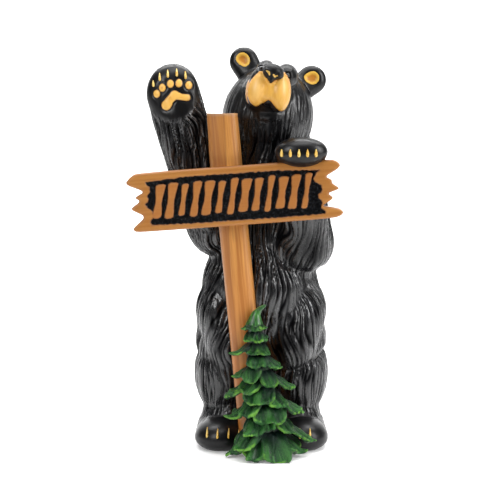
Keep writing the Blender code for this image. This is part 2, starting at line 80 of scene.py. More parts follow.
# %% Camera and lights
camera = bpy.data.objects.new("camera", bpy.data.cameras.new("camera"))
camera.data.lens = 87.4
camera.data.clip_start = 0.02
camera.location = (-0.012, -1.300, 0.350)
camera.rotation_euler = (math.pi / 2 - math.atan(0.1128), 0.0, 0.0)
bpy.context.scene.collection.objects.link(camera)
bpy.context.scene.camera = camera
bpy.context.scene.view_settings.view_transform = "Standard"


def add_lamp(name, place, aim, size, watts):
    lamp = bpy.data.objects.new(name, bpy.data.lights.new(name, "AREA"))
    lamp.data.shape = "RECTANGLE"
    lamp.data.size, lamp.data.size_y = size
    lamp.data.energy = watts
    lamp.location = place
    lamp.rotation_euler = (Vector(aim) - Vector(place)).to_track_quat("-Z", "Y").to_euler()
    bpy.context.scene.collection.objects.link(lamp)


add_lamp("key", (-0.85, -1.10, 0.95), (0.0, 0.0, 0.22), (0.30, 0.9), 11.0)
add_lamp("fill", (1.15, -0.60, 0.80), (0.0, 0.0, 0.20), (0.28, 1.1), 15.0)
add_lamp("top", (0.05, -0.35, 1.45), (0.0, 0.0, 0.20), (0.9, 0.5), 7.0)
add_lamp("sweep", (0.0, 0.45, 1.75), (0.0, 1.55, 0.15), (2.4, 0.5), 55.0)

world = bpy.data.worlds.new("studio")
world.use_nodes = True
sky = world.node_tree.nodes["Background"]
sky.inputs["Color"].default_value = (1.0, 1.0, 1.0, 1.0)
sky.inputs["Strength"].default_value = 0.07
bpy.context.scene.world = world
print("camera at", [round(v, 3) for v in camera.location])

# %% Sweep the floor up behind the figure
BEND_START, BEND_RADIUS = 0.9, 0.8
FLOOR_MIDDLE = Matrix.Translation((0.0, 2.35, 0.0))
floor_shape = bmesh.new()
bmesh.ops.create_grid(floor_shape, x_segments=2, y_segments=96, size=3.0, matrix=FLOOR_MIDDLE)
for vert in floor_shape.verts:
    past = vert.co.y - BEND_START
    if past > 0.0:
        turn = min(past / BEND_RADIUS, math.pi / 2)
        vert.co.y = BEND_START + BEND_RADIUS * math.sin(turn)
        vert.co.z = BEND_RADIUS * (1.0 - math.cos(turn)) + max(0.0, past - BEND_RADIUS * math.pi / 2)
floor_mesh = bpy.data.meshes.new("floor")
floor_shape.to_mesh(floor_mesh)
floor_shape.free()
floor_mesh.shade_smooth()
floor = bpy.data.objects.new("floor", floor_mesh)
bpy.context.scene.collection.objects.link(floor)
floor_paint = bpy.data.materials.new("pale_floor")
floor_paint.use_nodes = True
pale = floor_paint.node_tree.nodes["Principled BSDF"]
pale.inputs["Base Color"].default_value = (0.93, 0.93, 0.93, 1.0)
pale.inputs["Roughness"].default_value = 0.75
pale.inputs["Emission Color"].default_value = (1.0, 1.0, 1.0, 1.0)
pale.inputs["Emission Strength"].default_value = 0.20
floor.data.materials.append(floor_paint)
print("floor:", len(floor_mesh.polygons), "faces")

# %% [markdown]
# ## Measures
#
# The figure is drawn in millimetres, with its soles at height 0 and its higher ear at 420. `mm` turns
# a drawn point into metres. The sign's joinery is kept in metres, as a carpenter would note it.

# %% Sizes shared by the pieces
DRAWN_HEIGHT = 420.0
SCALE = 0.420 / DRAWN_HEIGHT
POST_WIDTH, POST_DEPTH, POST_HEIGHT = 0.030, 0.027, 0.350
POST_LEAN = math.radians(5.4)
POST_FOOT_X = -0.0066
POST_BACK = -0.048
POST_FRONT = POST_BACK - POST_DEPTH
BOARD_LENGTH, BOARD_HEIGHT, BOARD_THICKNESS = 0.216, 0.0594, 0.014
BOARD_TILT = math.radians(4.2)
BOARD_MIDDLE = 0.2675
BOARD_BACK = POST_FRONT + 0.002
BOARD_FRONT = BOARD_BACK - BOARD_THICKNESS


def mm(x, y, z):
    return Vector((x, y, z)) * SCALE


def post_x(height):
    return POST_FOOT_X - height * math.tan(POST_LEAN)


def board_point(along, up):
    """(x, z) of a point on the board, from its middle."""
    x = post_x(BOARD_MIDDLE) + 0.0045 + along * math.cos(BOARD_TILT) - up * math.sin(BOARD_TILT)
    z = BOARD_MIDDLE + along * math.sin(BOARD_TILT) + up * math.cos(BOARD_TILT)
    return x, z


print("the board's middle is at", [round(v, 4) for v in board_point(0.0, 0.0)])

# %% [markdown]
# ## Workshop helpers
#
# A carving is built up like clay: lumps are pressed together, melted into one skin, smoothed, and then
# cut. The lumps are icospheres and hulls between icospheres. A voxel remesh melts them, because it
# gives one even skin whatever overlaps, and even faces take carving well.

# %% Helpers that make and melt forms
def finish_piece(name, shape, smooth=True):
    mesh = bpy.data.meshes.new(name)
    shape.to_mesh(mesh)
    shape.free()
    piece = bpy.data.objects.new(name, mesh)
    bpy.context.scene.collection.objects.link(piece)
    if smooth:
        mesh.shade_smooth()
    return piece


def apply_modifiers(piece):
    depsgraph = bpy.context.evaluated_depsgraph_get()
    mesh = bpy.data.meshes.new_from_object(piece.evaluated_get(depsgraph))
    piece.modifiers.clear()
    piece.data = mesh


def melt(piece, voxel, rounds):
    remesh = piece.modifiers.new("melt", "REMESH")
    remesh.mode = "VOXEL"
    remesh.voxel_size = voxel
    if rounds:
        soften = piece.modifiers.new("soften", "SMOOTH")
        soften.factor = 0.5
        soften.iterations = rounds
    apply_modifiers(piece)
    piece.data.shade_smooth()


def add_ball(shape, centre, radii, turn=(0.0, 0.0, 0.0), detail=4):
    """An ellipsoid in metres, turned by degrees about X, Y and Z."""
    a, b, c = (math.radians(t) for t in turn)
    spin = Matrix.Rotation(c, 4, "Z") @ Matrix.Rotation(b, 4, "Y") @ Matrix.Rotation(a, 4, "X")
    place = Matrix.Translation(centre) @ spin @ Matrix.Diagonal((*radii, 1.0))
    bmesh.ops.create_icosphere(shape, subdivisions=detail, radius=1.0, matrix=place)


def add_limb(shape, *balls, detail=4):
    """Ellipsoids in a row, in metres, with the space between neighbours filled."""
    for pair in zip(balls, balls[1:]):
        part = bmesh.new()
        for centre, radii in pair:
            add_ball(part, centre, radii, detail=detail)
        hull = bmesh.ops.convex_hull(part, input=part.verts)
        loose = hull["geom_interior"] + hull["geom_unused"]
        spare = {e for e in loose if isinstance(e, bmesh.types.BMVert)}
        bmesh.ops.delete(part, geom=list(spare), context="VERTS")
        scratch = bpy.data.meshes.new("limb")
        part.to_mesh(scratch)
        part.free()
        shape.from_mesh(scratch)
        bpy.data.meshes.remove(scratch)


def drawn_ball(shape, centre, radii, turn=(0.0, 0.0, 0.0)):
    add_ball(shape, mm(*centre), [r * SCALE for r in radii], turn)


def drawn_limb(shape, *balls):
    add_limb(shape, *[(mm(*centre), [r * SCALE for r in radii]) for centre, radii in balls])


def store(piece, name, values):
    """Keeps one number per vertex, for the paint to read."""
    attribute = piece.data.attributes.new(name, "FLOAT", "POINT")
    attribute.data.foreach_set("value", np.asarray(values, dtype=np.float32))


def places(piece):
    """The vertices as an array, in millimetres of the drawing."""
    flat = np.empty(len(piece.data.vertices) * 3)
    piece.data.vertices.foreach_get("co", flat)
    return flat.reshape(-1, 3) / SCALE


def put_places(piece, points):
    piece.data.vertices.foreach_set("co", (points * SCALE).astype(np.float32).ravel())
    piece.data.update()


def normals(piece):
    flat = np.empty(len(piece.data.vertices) * 3, dtype=np.float32)
    piece.data.vertex_normals.foreach_get("vector", flat)
    return flat.reshape(-1, 3).astype(float)


print("helpers are ready")

# %% [markdown]
# A painter masks an edge with tape. Here the tape is an outline drawn in the front view. `distance_to`
# gives each vertex its distance to such an outline, less than zero inside. The paint turns colour where
# the distance crosses zero, so an edge stays crisp even between vertices.

# %% Outlines and distances
def rounded(outline, rounds=2, cut=0.25):
    """Cuts the corners of a closed outline by a share of each side."""
    points = np.array(outline, float)
    for _ in range(rounds):
        following = np.roll(points, -1, axis=0)
        nearer = (1 - cut) * points + cut * following
        farther = cut * points + (1 - cut) * following
        points = np.stack((nearer, farther), axis=1).reshape(-1, 2)
    return points


def distance_to(outline, x, z):
    """Signed distance of points to a closed outline, less than zero inside."""
    best = np.full(len(x), np.inf)
    inside = np.zeros(len(x), bool)
    for (ax, az), (bx, bz) in zip(outline, np.roll(outline, -1, axis=0)):
        dx, dz = bx - ax, bz - az
        share = np.clip(((x - ax) * dx + (z - az) * dz) / (dx * dx + dz * dz + 1e-12), 0.0, 1.0)
        best = np.minimum(best, np.hypot(x - ax - share * dx, z - az - share * dz))
        crosses = (az > z) != (bz > z)
        inside ^= crosses & (x < ax + (z - az) / (dz if dz else 1e-12) * dx)
    return np.where(inside, -best, best)


def capsule_row(row, x, z):
    """Signed distance to a row of circles (x, z, radius) with the space between them filled."""
    best = np.full(len(x), np.inf)
    for (ax, az, ar), (bx, bz, br) in zip(row, row[1:]):
        dx, dz = bx - ax, bz - az
        share = np.clip(((x - ax) * dx + (z - az) * dz) / (dx * dx + dz * dz), 0.0, 1.0)
        away = np.hypot(x - ax - share * dx, z - az - share * dz)
        best = np.minimum(best, away - (ar + share * (br - ar)))
    return best


def step(low, high, value):
    """0 at low and beyond it, 1 at high and beyond it, and a soft slope between."""
    share = np.clip((value - low) / (high - low), 0.0, 1.0)
    return share * share * (3.0 - 2.0 * share)


def bell(value, middle, width):
    """1 where the value is the middle, and almost 0 two widths away."""
    return np.exp(-((value - middle) / width) ** 2)


def soft_limit(values, start, room):
    """Values past the start are pressed together, so that they never leave the room behind it."""
    return np.where(values > start, start + room * np.tanh((values - start) / room), values)


square = rounded([(-1, -1), (1, -1), (1, 1), (-1, 1)])
print("from a rounded square's middle to its edge:", distance_to(square, np.zeros(1), np.zeros(1)))

# %% [markdown]
# ## Shared paint effects
#
# Two effects come back on several pieces, so each is a node group with its own sliders. Speckle breaks
# up a flat colour as a brush does. Grain draws long streaks along a board. A group puts out a mask
# alone, and the material decides on the colour, so one group serves black resin and brown wood.

# %% Node groups
def add_node(tree, kind, **settings):
    node = tree.nodes.new(kind)
    for name, value in settings.items():
        setattr(node, name, value)
    return node


def preset(node, **numbers):
    """Sets a node's sliders by their labels."""
    for label, number in numbers.items():
        node.inputs[label].default_value = number
    return node


def new_group(name, inputs, outputs):
    group = bpy.data.node_groups.new(name, "ShaderNodeTree")
    for label, kind, value in inputs:
        socket = group.interface.new_socket(label, in_out="INPUT", socket_type=kind)
        if value is not None:
            socket.default_value = value
    for label, kind in outputs:
        group.interface.new_socket(label, in_out="OUTPUT", socket_type=kind)
    return group, add_node(group, "NodeGroupInput"), add_node(group, "NodeGroupOutput")


def make_speckle():
    """A soft cloud mask from Object coordinates."""
    usual = (("Scale", 120.0), ("Low", 0.35), ("High", 0.65))
    sliders = [(label, "NodeSocketFloat", value) for label, value in usual]
    group, given, result = new_group("speckle", sliders, [("Mask", "NodeSocketFloat")])
    where = add_node(group, "ShaderNodeTexCoord")
    cloud = preset(add_node(group, "ShaderNodeTexNoise"), Detail=4.0)
    ramp = add_node(group, "ShaderNodeMapRange", interpolation_type="SMOOTHSTEP")
    group.links.new(where.outputs["Object"], cloud.inputs["Vector"])
    group.links.new(given.outputs["Scale"], cloud.inputs["Scale"])
    group.links.new(cloud.outputs["Fac"], ramp.inputs["Value"])
    group.links.new(given.outputs["Low"], ramp.inputs["From Min"])
    group.links.new(given.outputs["High"], ramp.inputs["From Max"])
    group.links.new(ramp.outputs["Result"], result.inputs["Mask"])
    return group


def make_grain():
    """Streaks along the local Z axis of whatever vector it is given."""
    sliders = [
        ("Vector", "NodeSocketVector", None), ("Fineness", "NodeSocketFloat", 260.0),
        ("Length", "NodeSocketFloat", 0.035),
    ]
    masks = [("Streaks", "NodeSocketFloat"), ("Bands", "NodeSocketFloat")]
    group, given, result = new_group("wood grain", sliders, masks)
    squeeze = preset(add_node(group, "ShaderNodeCombineXYZ"), X=1.0, Y=1.0)
    group.links.new(given.outputs["Length"], squeeze.inputs["Z"])
    long = add_node(group, "ShaderNodeVectorMath", operation="MULTIPLY")
    group.links.new(given.outputs["Vector"], long.inputs[0])
    group.links.new(squeeze.outputs["Vector"], long.inputs[1])
    fine = preset(add_node(group, "ShaderNodeTexNoise"), Detail=5.0, Roughness=0.6, Distortion=0.25)
    group.links.new(long.outputs["Vector"], fine.inputs["Vector"])
    group.links.new(given.outputs["Fineness"], fine.inputs["Scale"])
    slower = add_node(group, "ShaderNodeMath", operation="MULTIPLY")
    slower.inputs[1].default_value = 0.28
    group.links.new(given.outputs["Fineness"], slower.inputs[0])
    broad = preset(add_node(group, "ShaderNodeTexNoise"), Detail=2.0, Distortion=0.6)
    group.links.new(long.outputs["Vector"], broad.inputs["Vector"])
    group.links.new(slower.outputs["Value"], broad.inputs["Scale"])
    group.links.new(fine.outputs["Fac"], result.inputs["Streaks"])
    group.links.new(broad.outputs["Fac"], result.inputs["Bands"])
    return group


SPECKLE = make_speckle()
GRAIN = make_grain()
print("groups:", SPECKLE.name, "and", GRAIN.name)

# %% Helpers that mix paint
class Paint:
    """A material with one Principled shader, and short ways to add nodes to it."""

    def __init__(self, name, roughness, coat=0.0):
        self.material = bpy.data.materials.new(name)
        self.material.use_nodes = True
        self.tree = self.material.node_tree
        self.shader = self.tree.nodes["Principled BSDF"]
        self.shader.inputs["Roughness"].default_value = roughness
        self.shader.inputs["Coat Weight"].default_value = coat
        self.shader.inputs["Coat Roughness"].default_value = 0.25
        self.where = add_node(self.tree, "ShaderNodeTexCoord")

    def link(self, source, target):
        self.tree.links.new(source, target)

    def attribute(self, name):
        return add_node(self.tree, "ShaderNodeAttribute", attribute_name=name).outputs["Fac"]

    def between(self, value, low, high, out_low=0.0, out_high=1.0):
        ramp = add_node(self.tree, "ShaderNodeMapRange", interpolation_type="SMOOTHSTEP")
        self.link(value, ramp.inputs["Value"])
        labels = ("From Min", "From Max", "To Min", "To Max")
        for label, number in zip(labels, (low, high, out_low, out_high)):
            ramp.inputs[label].default_value = number
        return ramp.outputs["Result"]

    def mask(self, name, *limits):
        """A stored number, stretched between limits."""
        return self.between(self.attribute(name), *limits)

    def math(self, operation, first, second):
        node = add_node(self.tree, "ShaderNodeMath", operation=operation)
        for socket, value in zip(node.inputs, (first, second)):
            if isinstance(value, (int, float)):
                socket.default_value = value
            else:
                self.link(value, socket)
        return node.outputs["Value"]

    def times(self, first, second):
        return self.math("MULTIPLY", first, second)

    def mix(self, share, first, second):
        """Colours are triples or sockets."""
        node = add_node(self.tree, "ShaderNodeMix", data_type="RGBA")
        for label, value in (("Factor", share), ("A", first), ("B", second)):
            socket = node.inputs[label]
            if isinstance(value, tuple):
                socket.default_value = (*value, 1.0)
            elif isinstance(value, (int, float)):
                socket.default_value = value
            else:
                self.link(value, socket)
        return node.outputs["Result"]

    def noise(self, scale, stretch=(1.0, 1.0, 1.0), detail=4.0):
        mapping = preset(add_node(self.tree, "ShaderNodeMapping"), Scale=stretch)
        self.link(self.where.outputs["Object"], mapping.inputs["Vector"])
        cloud = preset(add_node(self.tree, "ShaderNodeTexNoise"), Scale=scale, Detail=detail)
        self.link(mapping.outputs["Vector"], cloud.inputs["Vector"])
        return cloud.outputs["Fac"]

    def combed(self, scale, length):
        """Hair lines down the object, led aside by a slow wave."""
        wave = preset(add_node(self.tree, "ShaderNodeTexNoise"), Scale=22.0, Detail=1.0)
        self.link(self.where.outputs["Object"], wave.inputs["Vector"])
        aside = add_node(self.tree, "ShaderNodeVectorMath", operation="MULTIPLY")
        aside.inputs[1].default_value = (0.022, 0.022, 0.0)
        self.link(wave.outputs["Color"], aside.inputs[0])
        led = add_node(self.tree, "ShaderNodeVectorMath", operation="ADD")
        self.link(self.where.outputs["Object"], led.inputs[0])
        self.link(aside.outputs["Vector"], led.inputs[1])
        squeeze = add_node(self.tree, "ShaderNodeVectorMath", operation="MULTIPLY")
        squeeze.inputs[1].default_value = (1.0, 1.0, length)
        self.link(led.outputs["Vector"], squeeze.inputs[0])
        cloud = preset(add_node(self.tree, "ShaderNodeTexNoise"), Scale=scale, Detail=3.0)
        self.link(squeeze.outputs["Vector"], cloud.inputs["Vector"])
        return cloud.outputs["Fac"]

    def speckle(self, scale, low, high):
        node = add_node(self.tree, "ShaderNodeGroup", node_tree=SPECKLE)
        return preset(node, Scale=scale, Low=low, High=high).outputs["Mask"]

    def grain(self, turn, fineness, length):
        mapping = preset(add_node(self.tree, "ShaderNodeMapping"), Rotation=turn)
        self.link(self.where.outputs["Object"], mapping.inputs["Vector"])
        node = add_node(self.tree, "ShaderNodeGroup", node_tree=GRAIN)
        preset(node, Fineness=fineness, Length=length)
        self.link(mapping.outputs["Vector"], node.inputs["Vector"])
        return node.outputs["Streaks"], node.outputs["Bands"]

    def colour(self, socket):
        self.link(socket, self.shader.inputs["Base Color"])

    def roughness(self, socket):
        self.link(socket, self.shader.inputs["Roughness"])

    def bump(self, height, strength, depth):
        node = preset(add_node(self.tree, "ShaderNodeBump"), Strength=strength, Distance=depth)
        self.link(height, node.inputs["Height"])
        self.link(node.outputs["Normal"], self.shader.inputs["Normal"])


print("paint helpers are ready")

# %% [markdown]
# ## The bear's body
#
# The body is one casting: trunk, legs, arms and head run into each other with soft creases. It could
# be sculpted by hand, but lumps with names are easier to move later, so each muscle is a ball or a limb
# between balls. The feet, paws and head are added after a first melt, so that their edges stay sharper.

# %% Trunk, legs and arms
def paw_grip():
    """Where the holding paw closes over the board's top edge, in drawing millimetres."""
    x, z = board_point(0.315 * BOARD_LENGTH, BOARD_HEIGHT / 2)
    return Vector((x, BOARD_FRONT, z)) / SCALE


grip = paw_grip()
clay = bmesh.new()
drawn_limb(
    clay,
    ((-1, 2, 130), (70, 53, 54)), ((0, 1, 215), (51, 47, 52)),
    ((2, 0, 270), (49, 43, 42)), ((5, -2, 318), (44, 42, 40)),
)
drawn_ball(clay, (0, -13, 165), (52, 44, 50))
for side in (-1, 1):
    drawn_ball(clay, (side * 36.5, -2, 72), (36.5, 46, 52))
    drawn_ball(clay, (side * 34, -6, 24), (31, 42, 27))
    drawn_limb(clay, ((side * 46, -6, 140), (25, 38, 34)), ((side * 29, -24, 106), (30, 32, 34)))
    drawn_ball(clay, (side * 48, 2, 106), (23.5, 32, 36))
drawn_ball(clay, (0, 6, 30), (56, 44, 42))
drawn_ball(clay, (0, 10, 84), (40, 39, 44))
drawn_ball(clay, (-34, 0, 166), (30.5, 40, 42))
drawn_limb(clay, ((-36, -2, 272), (25, 27, 30)), ((-51, -14, 229), (27.5, 27, 30)))
drawn_limb(
    clay,
    ((-53, -15, 232), (28, 26, 27)), ((-72, -27, 288), (24.5, 22, 26)),
    ((-84, -30, 340), (28.6, 20, 28)), ((-91.5, -32, 370), (28.3, 18, 31.8)),
)
drawn_limb(clay, ((40, 0, 275), (27, 28, 32)), ((50, -8, 213), (28.5, 29, 32)))
drawn_limb(clay, ((43, -22, 211), (31.5, 29, 31.5)), (tuple(grip + Vector((-2, 26, -22))), (25, 22, 26)))
bear = finish_piece("bear_body", clay)
melt(bear, 0.0022, 6)
print("first skin:", len(bear.data.polygons), "faces")

# %% Feet, holding paw, head and ears
clay = bmesh.new()
clay.from_mesh(bear.data)
for side in (-1, 1):
    drawn_limb(clay, ((side * 39, 4, 14), (30, 34, 20)), ((side * 41.5, -46, 11), (29, 30, 20)))
drawn_limb(
    clay,
    (tuple(grip + Vector((0, 24, 0))), (24, 17, 15)), (tuple(grip + Vector((1, 3, 9.5))), (27, 16.5, 14.8)),
)
drawn_ball(clay, (7, -2, 346), (48.5, 48, 53.5), (0, 11, 0))
drawn_ball(clay, (7, 0, 322), (45, 44, 46))
drawn_ball(clay, (4.5, -33, 390.5), (11.5, 18, 14.2), (0, 4, 0))
drawn_ball(clay, (25.2, -31, 387.0), (12.8, 18, 14.0), (0, 14, 0))
drawn_limb(clay, ((7, -38, 368), (24, 22, 25)), ((8, -62, 378), (15, 14, 14)))
drawn_ball(clay, (-3.5, -61, 376.5), (12, 17, 22), (-14, 17, 0))
drawn_ball(clay, (17.5, -61, 371.5), (12, 17, 21.5), (-14, 2, 0))
drawn_ball(clay, (7, -40, 349), (18, 14, 12))
drawn_ball(clay, (7.5, -63, 372), (10, 13.5, 15), (0, 9, 0))
drawn_ball(clay, (18.5, -63, 382), (8.5, 13, 11), (0, 0, 0))
drawn_ball(clay, (12, -70, 391), (11.5, 10.5, 8), (0, 14, 0))
drawn_ball(clay, (9, -74, 385), (6, 7, 6.5))
drawn_limb(clay, ((-9, 4, 388), (14, 10, 15)), ((-18.5, 6, 404.5), (15.5, 8.5, 15.5)))
drawn_limb(clay, ((42, 4, 376), (14, 10, 15)), ((53.5, 6, 385), (16, 8.5, 15.5)))
clay.to_mesh(bear.data)
clay.free()
melt(bear, 0.00118, 5)
print("second skin:", len(bear.data.polygons), "faces")

# %% [markdown]
# ## The coat
#
# The coat's locks were cut with a rotary tool: long wavy strands with dark cuts between them, finer
# scratches on each strand, and almost none on the paws and the muzzle. Every run of the coat has its
# own axis, such as the trunk's or an arm's. The strands lie side by side around that axis, sway with a
# slow noise, and each rises and falls along its length, so that some cuts fade and strands merge. Where
# two runs meet, their heights blend. The cuts go inwards, and only the backs of the front locks rise a
# little, so the outline keeps its size.

# %% Where the coat runs, and where it is bare or folded
COAT_RUNS = (
    # middle, reach, foot of the axis, direction of the axis, cuts around it, spread, wave
    ((0, 0, 150), (95, 90, 150), (0, 8, 150), (0.0, 0.0, 1.0), 56, 0.34, 0.0),
    ((7, 0, 350), (60, 60, 60), (7, 4, 350), (0.18, 0.0, 1.0), 60, 0.10, 0.0),
    ((-78, -26, 300), (34, 40, 110), (-74, -24, 288), (-0.27, -0.08, 1.0), 29, 0.05, 0.12),
    ((48, -20, 225), (34, 40, 45), (46, -14, 240), (0.05, -0.20, 1.0), 56, 0.10, 0.0),
    ((40, -30, 60), (34, 40, 60), (37, -4, 60), (0.04, 0.0, 1.0), 46, 0.25, 0.0),
    ((-40, -30, 60), (34, 40, 60), (-37, -4, 60), (-0.04, 0.0, 1.0), 46, 0.25, 0.0),
)
SMOOTH_PLACES = (
    # middle and radius: muzzle, palm, both ears, brows, both feet, holding paw
    ((7, -62, 374), 30), ((-93, -46, 372), 31), ((-19.5, 0, 405), 20), ((53.5, 0, 385), 20),
    ((15, -30, 394), 24), ((-41, -60, 8), 33), ((41, -60, 8), 33), (tuple(grip + Vector((0, -4, 8))), 30),
)
CREASES = (
    # the row of (x, z), how deep, how wide: thigh, holding elbow, dip between the brows, knee
    (((30.0, 79.5), (42.0, 83.0), (55.0, 89.0), (66.0, 95.0), (76.0, 101.0)), 2.6, 2.8),
    (((9.0, 211.0), (14.5, 203.5), (25.0, 191.5), (40.0, 184.5), (54.0, 182.5), (63.0, 187.5)), 2.2, 2.6),
    (((15.5, 404.0), (15.5, 396.0)), 3.2, 2.6),
    (((-74.0, 93.0), (-56.0, 88.0)), 1.0, 5.0),
)
LOCK_DEPTH, HAIR_DEPTH, LOCK_SWELL = 2.7, 0.6, 0.8
BACK_START, BACK_ROOM = 49.0, 4.3
print("the coat has", len(COAT_RUNS), "runs and", len(CREASES), "folds")

# %% Shapes of locks and strands
def angle_round(x, y, z, foot, axis, spread, sway):
    """The angle round a run's axis, from the front, with the strands fanned out and swaying."""
    turn = np.arctan2(x - foot[0] - axis[0] * (z - foot[2]), foot[1] + axis[1] * (z - foot[2]) - y)
    return turn + spread * (z - foot[2]) / 100.0 * np.sin(turn) + sway


def locks(turn, z, cuts, seed):
    """Flame-shaped locks, 0 in the cuts between them and 1 on their backs."""
    far = cuts * 0.85 / math.pi
    spots = zip(far * np.sin(turn), far * np.cos(turn), z / 62.0)
    mound = np.array([abs(noise.noise(Vector((a, b, c + 3.7 * seed)))) for a, b, c in spots])
    return np.minimum(1.0, mound * 3.4) ** 0.55


def strands(turn, z, cuts, seed):
    """Thin strands side by side, 0 in the cuts between them and 1 on the crests."""
    place = turn * cuts / (2.0 * math.pi)
    strand = np.floor(place)
    arch = np.sin(math.pi * (place - strand)) ** 0.62
    rise = np.array([noise.noise(Vector((k * 5.13, h / 22.0, seed))) for k, h in zip(strand, z)])
    return np.clip(arch * (0.70 + 0.8 * rise), 0.0, 1.0)


def closeness(points, centre, reach):
    """1 at the centre, and almost 0 past an ellipsoid of the given reach."""
    away = (points - np.array(centre)) / np.array(reach)
    return np.exp(-2.5 * (away ** 2).sum(axis=1))


print("a lock runs 0 to", float(locks(np.array([0.7]), np.array([150.0]), 56, 0)[0]), "at a sample point")

# %% Lay the locks along their runs
points = places(bear)
outward = normals(bear)
x, y, z = points.T
slow = np.array([noise.noise(Vector(p) / 42.0) for p in points])
quick = np.array([noise.noise(Vector((p[0] / 15.0, p[1] / 15.0, p[2] / 26.0))) for p in points])
total = np.full(len(points), 1e-6)
coarse = np.zeros(len(points))
fine = np.zeros(len(points))
for seed, (middle, reach, foot, axis, cuts, spread, wave) in enumerate(COAT_RUNS):
    weight = closeness(points, middle, reach) ** 2
    sway = (slow * 6.5 + quick * 1.6) * 2.0 * math.pi / (6.2 * cuts)
    sway += wave * np.sin(z / 11.0 + 3.0 * slow)
    turn = angle_round(x, y, z, foot, axis, spread, sway)
    total += weight
    coarse += weight * locks(turn, z, cuts, seed)
    fine += weight * strands(turn, z, 1.5 * cuts, seed)
coarse /= total
fine /= total
print("mean height of the locks:", round(float(coarse.mean()), 2))

# %% [markdown]
# The cuts are not equally deep. They fade out on the bare places, they are shallow on the head, the
# legs and the holding arm, and the folds of the thigh, the elbow and the brow are pressed in over them.
# The feet are rounded off below, and the farthest bulges of the back are pressed in softly, so that the
# body stays inside the box of its solid.

# %% Carve the coat
full = np.ones(len(points))
for centre, reach in SMOOTH_PLACES:
    full *= step(0.8, 1.15, np.linalg.norm(points - np.array(centre), axis=1) / reach)
full *= 1.0 - 0.72 * step(318.0, 350.0, z) * (x > -45)
crest = 1.0 - full * (1.0 - (0.7 * coarse + 0.3 * fine))
swell = LOCK_SWELL * step(0.2, -0.3, outward[:, 1]) * (x > -60)
relief = 1.0 - 0.42 * step(150.0, 105.0, z)
relief *= 1.0 - 0.6 * closeness(points, (52, -38, 214), (42, 56, 44))
depth = full * relief * (LOCK_DEPTH * (1.0 - coarse) + HAIR_DEPTH * (1.0 - fine) - swell)
front = outward[:, 1] < 0.15
for row, deep, wide in CREASES:
    gap = capsule_row([(cx, cz, 0.0) for cx, cz in row], x[front], z[front])
    depth[front] += deep * bell(gap, 0.0, wide)
points -= outward * depth[:, None]
tuck = 3.4 * np.clip(1.0 - points[:, 2] / 8.0, 0.0, 1.0) ** 2
level = outward * (1.0, 1.0, 0.0)
points -= level * (tuck / np.maximum(np.linalg.norm(level, axis=1), 0.2))[:, None]
points[:, 2] = np.clip(points[:, 2], 0.14, 419.5)
points[:, 1] = soft_limit(points[:, 1], BACK_START, BACK_ROOM)
put_places(bear, points)
print("deepest cut:", round(float(depth.max()), 2), "mm")

# %% [markdown]
# ## Painted places
#
# The muzzle, the ears and the palm carry honey yellow. Their outlines are drawn in the front view. A
# fine cut is pressed along each outline, as the caster's model has it, and the dark line it leaves is
# what makes the face read from afar.

# %% Muzzle, ear and palm outlines
MUZZLE = rounded([
    (9.0, 380.6), (4.6, 386.8), (1.0, 394.6), (-6.5, 389.0), (-13.2, 381.5), (-16.2, 371.5), (-14.0, 362.5),
    (-10.0, 357.6), (-5.4, 355.8), (0.5, 358.4), (4.6, 362.4), (7.4, 362.8), (10.8, 358.4), (14.8, 353.4),
    (19.6, 350.6), (25.6, 354.2), (28.8, 362.0), (29.2, 370.0), (28.0, 379.0), (25.0, 387.0), (21.5, 392.4),
    (18.8, 385.6), (14.3, 382.0),
])
EARS = (
    rounded([
        (-27.6, 409.1), (-23.6, 413.4), (-18.0, 414.3), (-13.8, 411.1), (-11.8, 406.3), (-12.6, 401.2),
        (-18.2, 397.6), (-26.8, 404.0),
    ]),
    rounded([
        (45.2, 390.2), (51.0, 393.6), (56.0, 394.8), (60.8, 391.3), (62.0, 387.2), (60.0, 382.0),
        (55.2, 379.6), (49.6, 381.2), (45.6, 385.0),
    ]),
)
PALM = (
    (-97.6, 358.0, 5.2), (-93.7, 363.0, 4.1), (-89.2, 368.4, 4.6), (-82.0, 366.3, 3.2),
    (-76.3, 365.8, 3.5),
)
TOES = ((-107.6, 369.6), (-101.7, 375.8), (-93.3, 379.8), (-84.6, 380.4), (-74.6, 378.3))
TOE_RADIUS, TOE_WIDTH = 4.25, 0.84
EYES = ((-0.8, 394.9, 1.9), (26.6, 388.2, 2.3))
MUZZLE_MIDDLE, MUZZLE_BACK = 7.0, -47.0
FAR = 9.0
print("muzzle outline:", len(MUZZLE), "points")

# %% How far each point lies from the painted edges
points = places(bear)
outward = normals(bear)
x, y, z = points.T
facing = outward[:, 1] < 0.1
honey = np.full(len(points), FAR)
snout = (y < -38) & (z > 345)
tight = 1.0 - 0.14 * step(-0.40, 0.0, outward[snout, 1])
beside = MUZZLE_MIDDLE + (x[snout] - MUZZLE_MIDDLE) * tight
honey[snout] = np.maximum(distance_to(MUZZLE, beside, z[snout]), y[snout] - MUZZLE_BACK)
ears = np.full(len(points), FAR)
for outline in EARS:
    near = (y < 6) & (z > 370) & facing & (np.abs(x - outline[:, 0].mean()) < 25)
    ears[near] = np.minimum(ears[near], distance_to(outline, x[near], z[near]))
palm = np.full(len(points), FAR)
near = (y < -25) & (x < -60) & (z > 340) & facing
palm[near] = capsule_row(PALM, x[near], z[near])
for toe_x, toe_z in TOES:
    toe = np.hypot((x[near] - toe_x) / TOE_WIDTH, z[near] - toe_z) - TOE_RADIUS
    palm[near] = np.minimum(palm[near], toe)
print("painted vertices:", int((honey < 0).sum()), int((ears < 0).sum()), int((palm < 0).sum()))

# %% [markdown]
# A modelling tool would leave the same marks: a fine cut round the muzzle and the pads, a dish in
# each ear, cushions on the palm, and a socket with a raised lid round each eye.

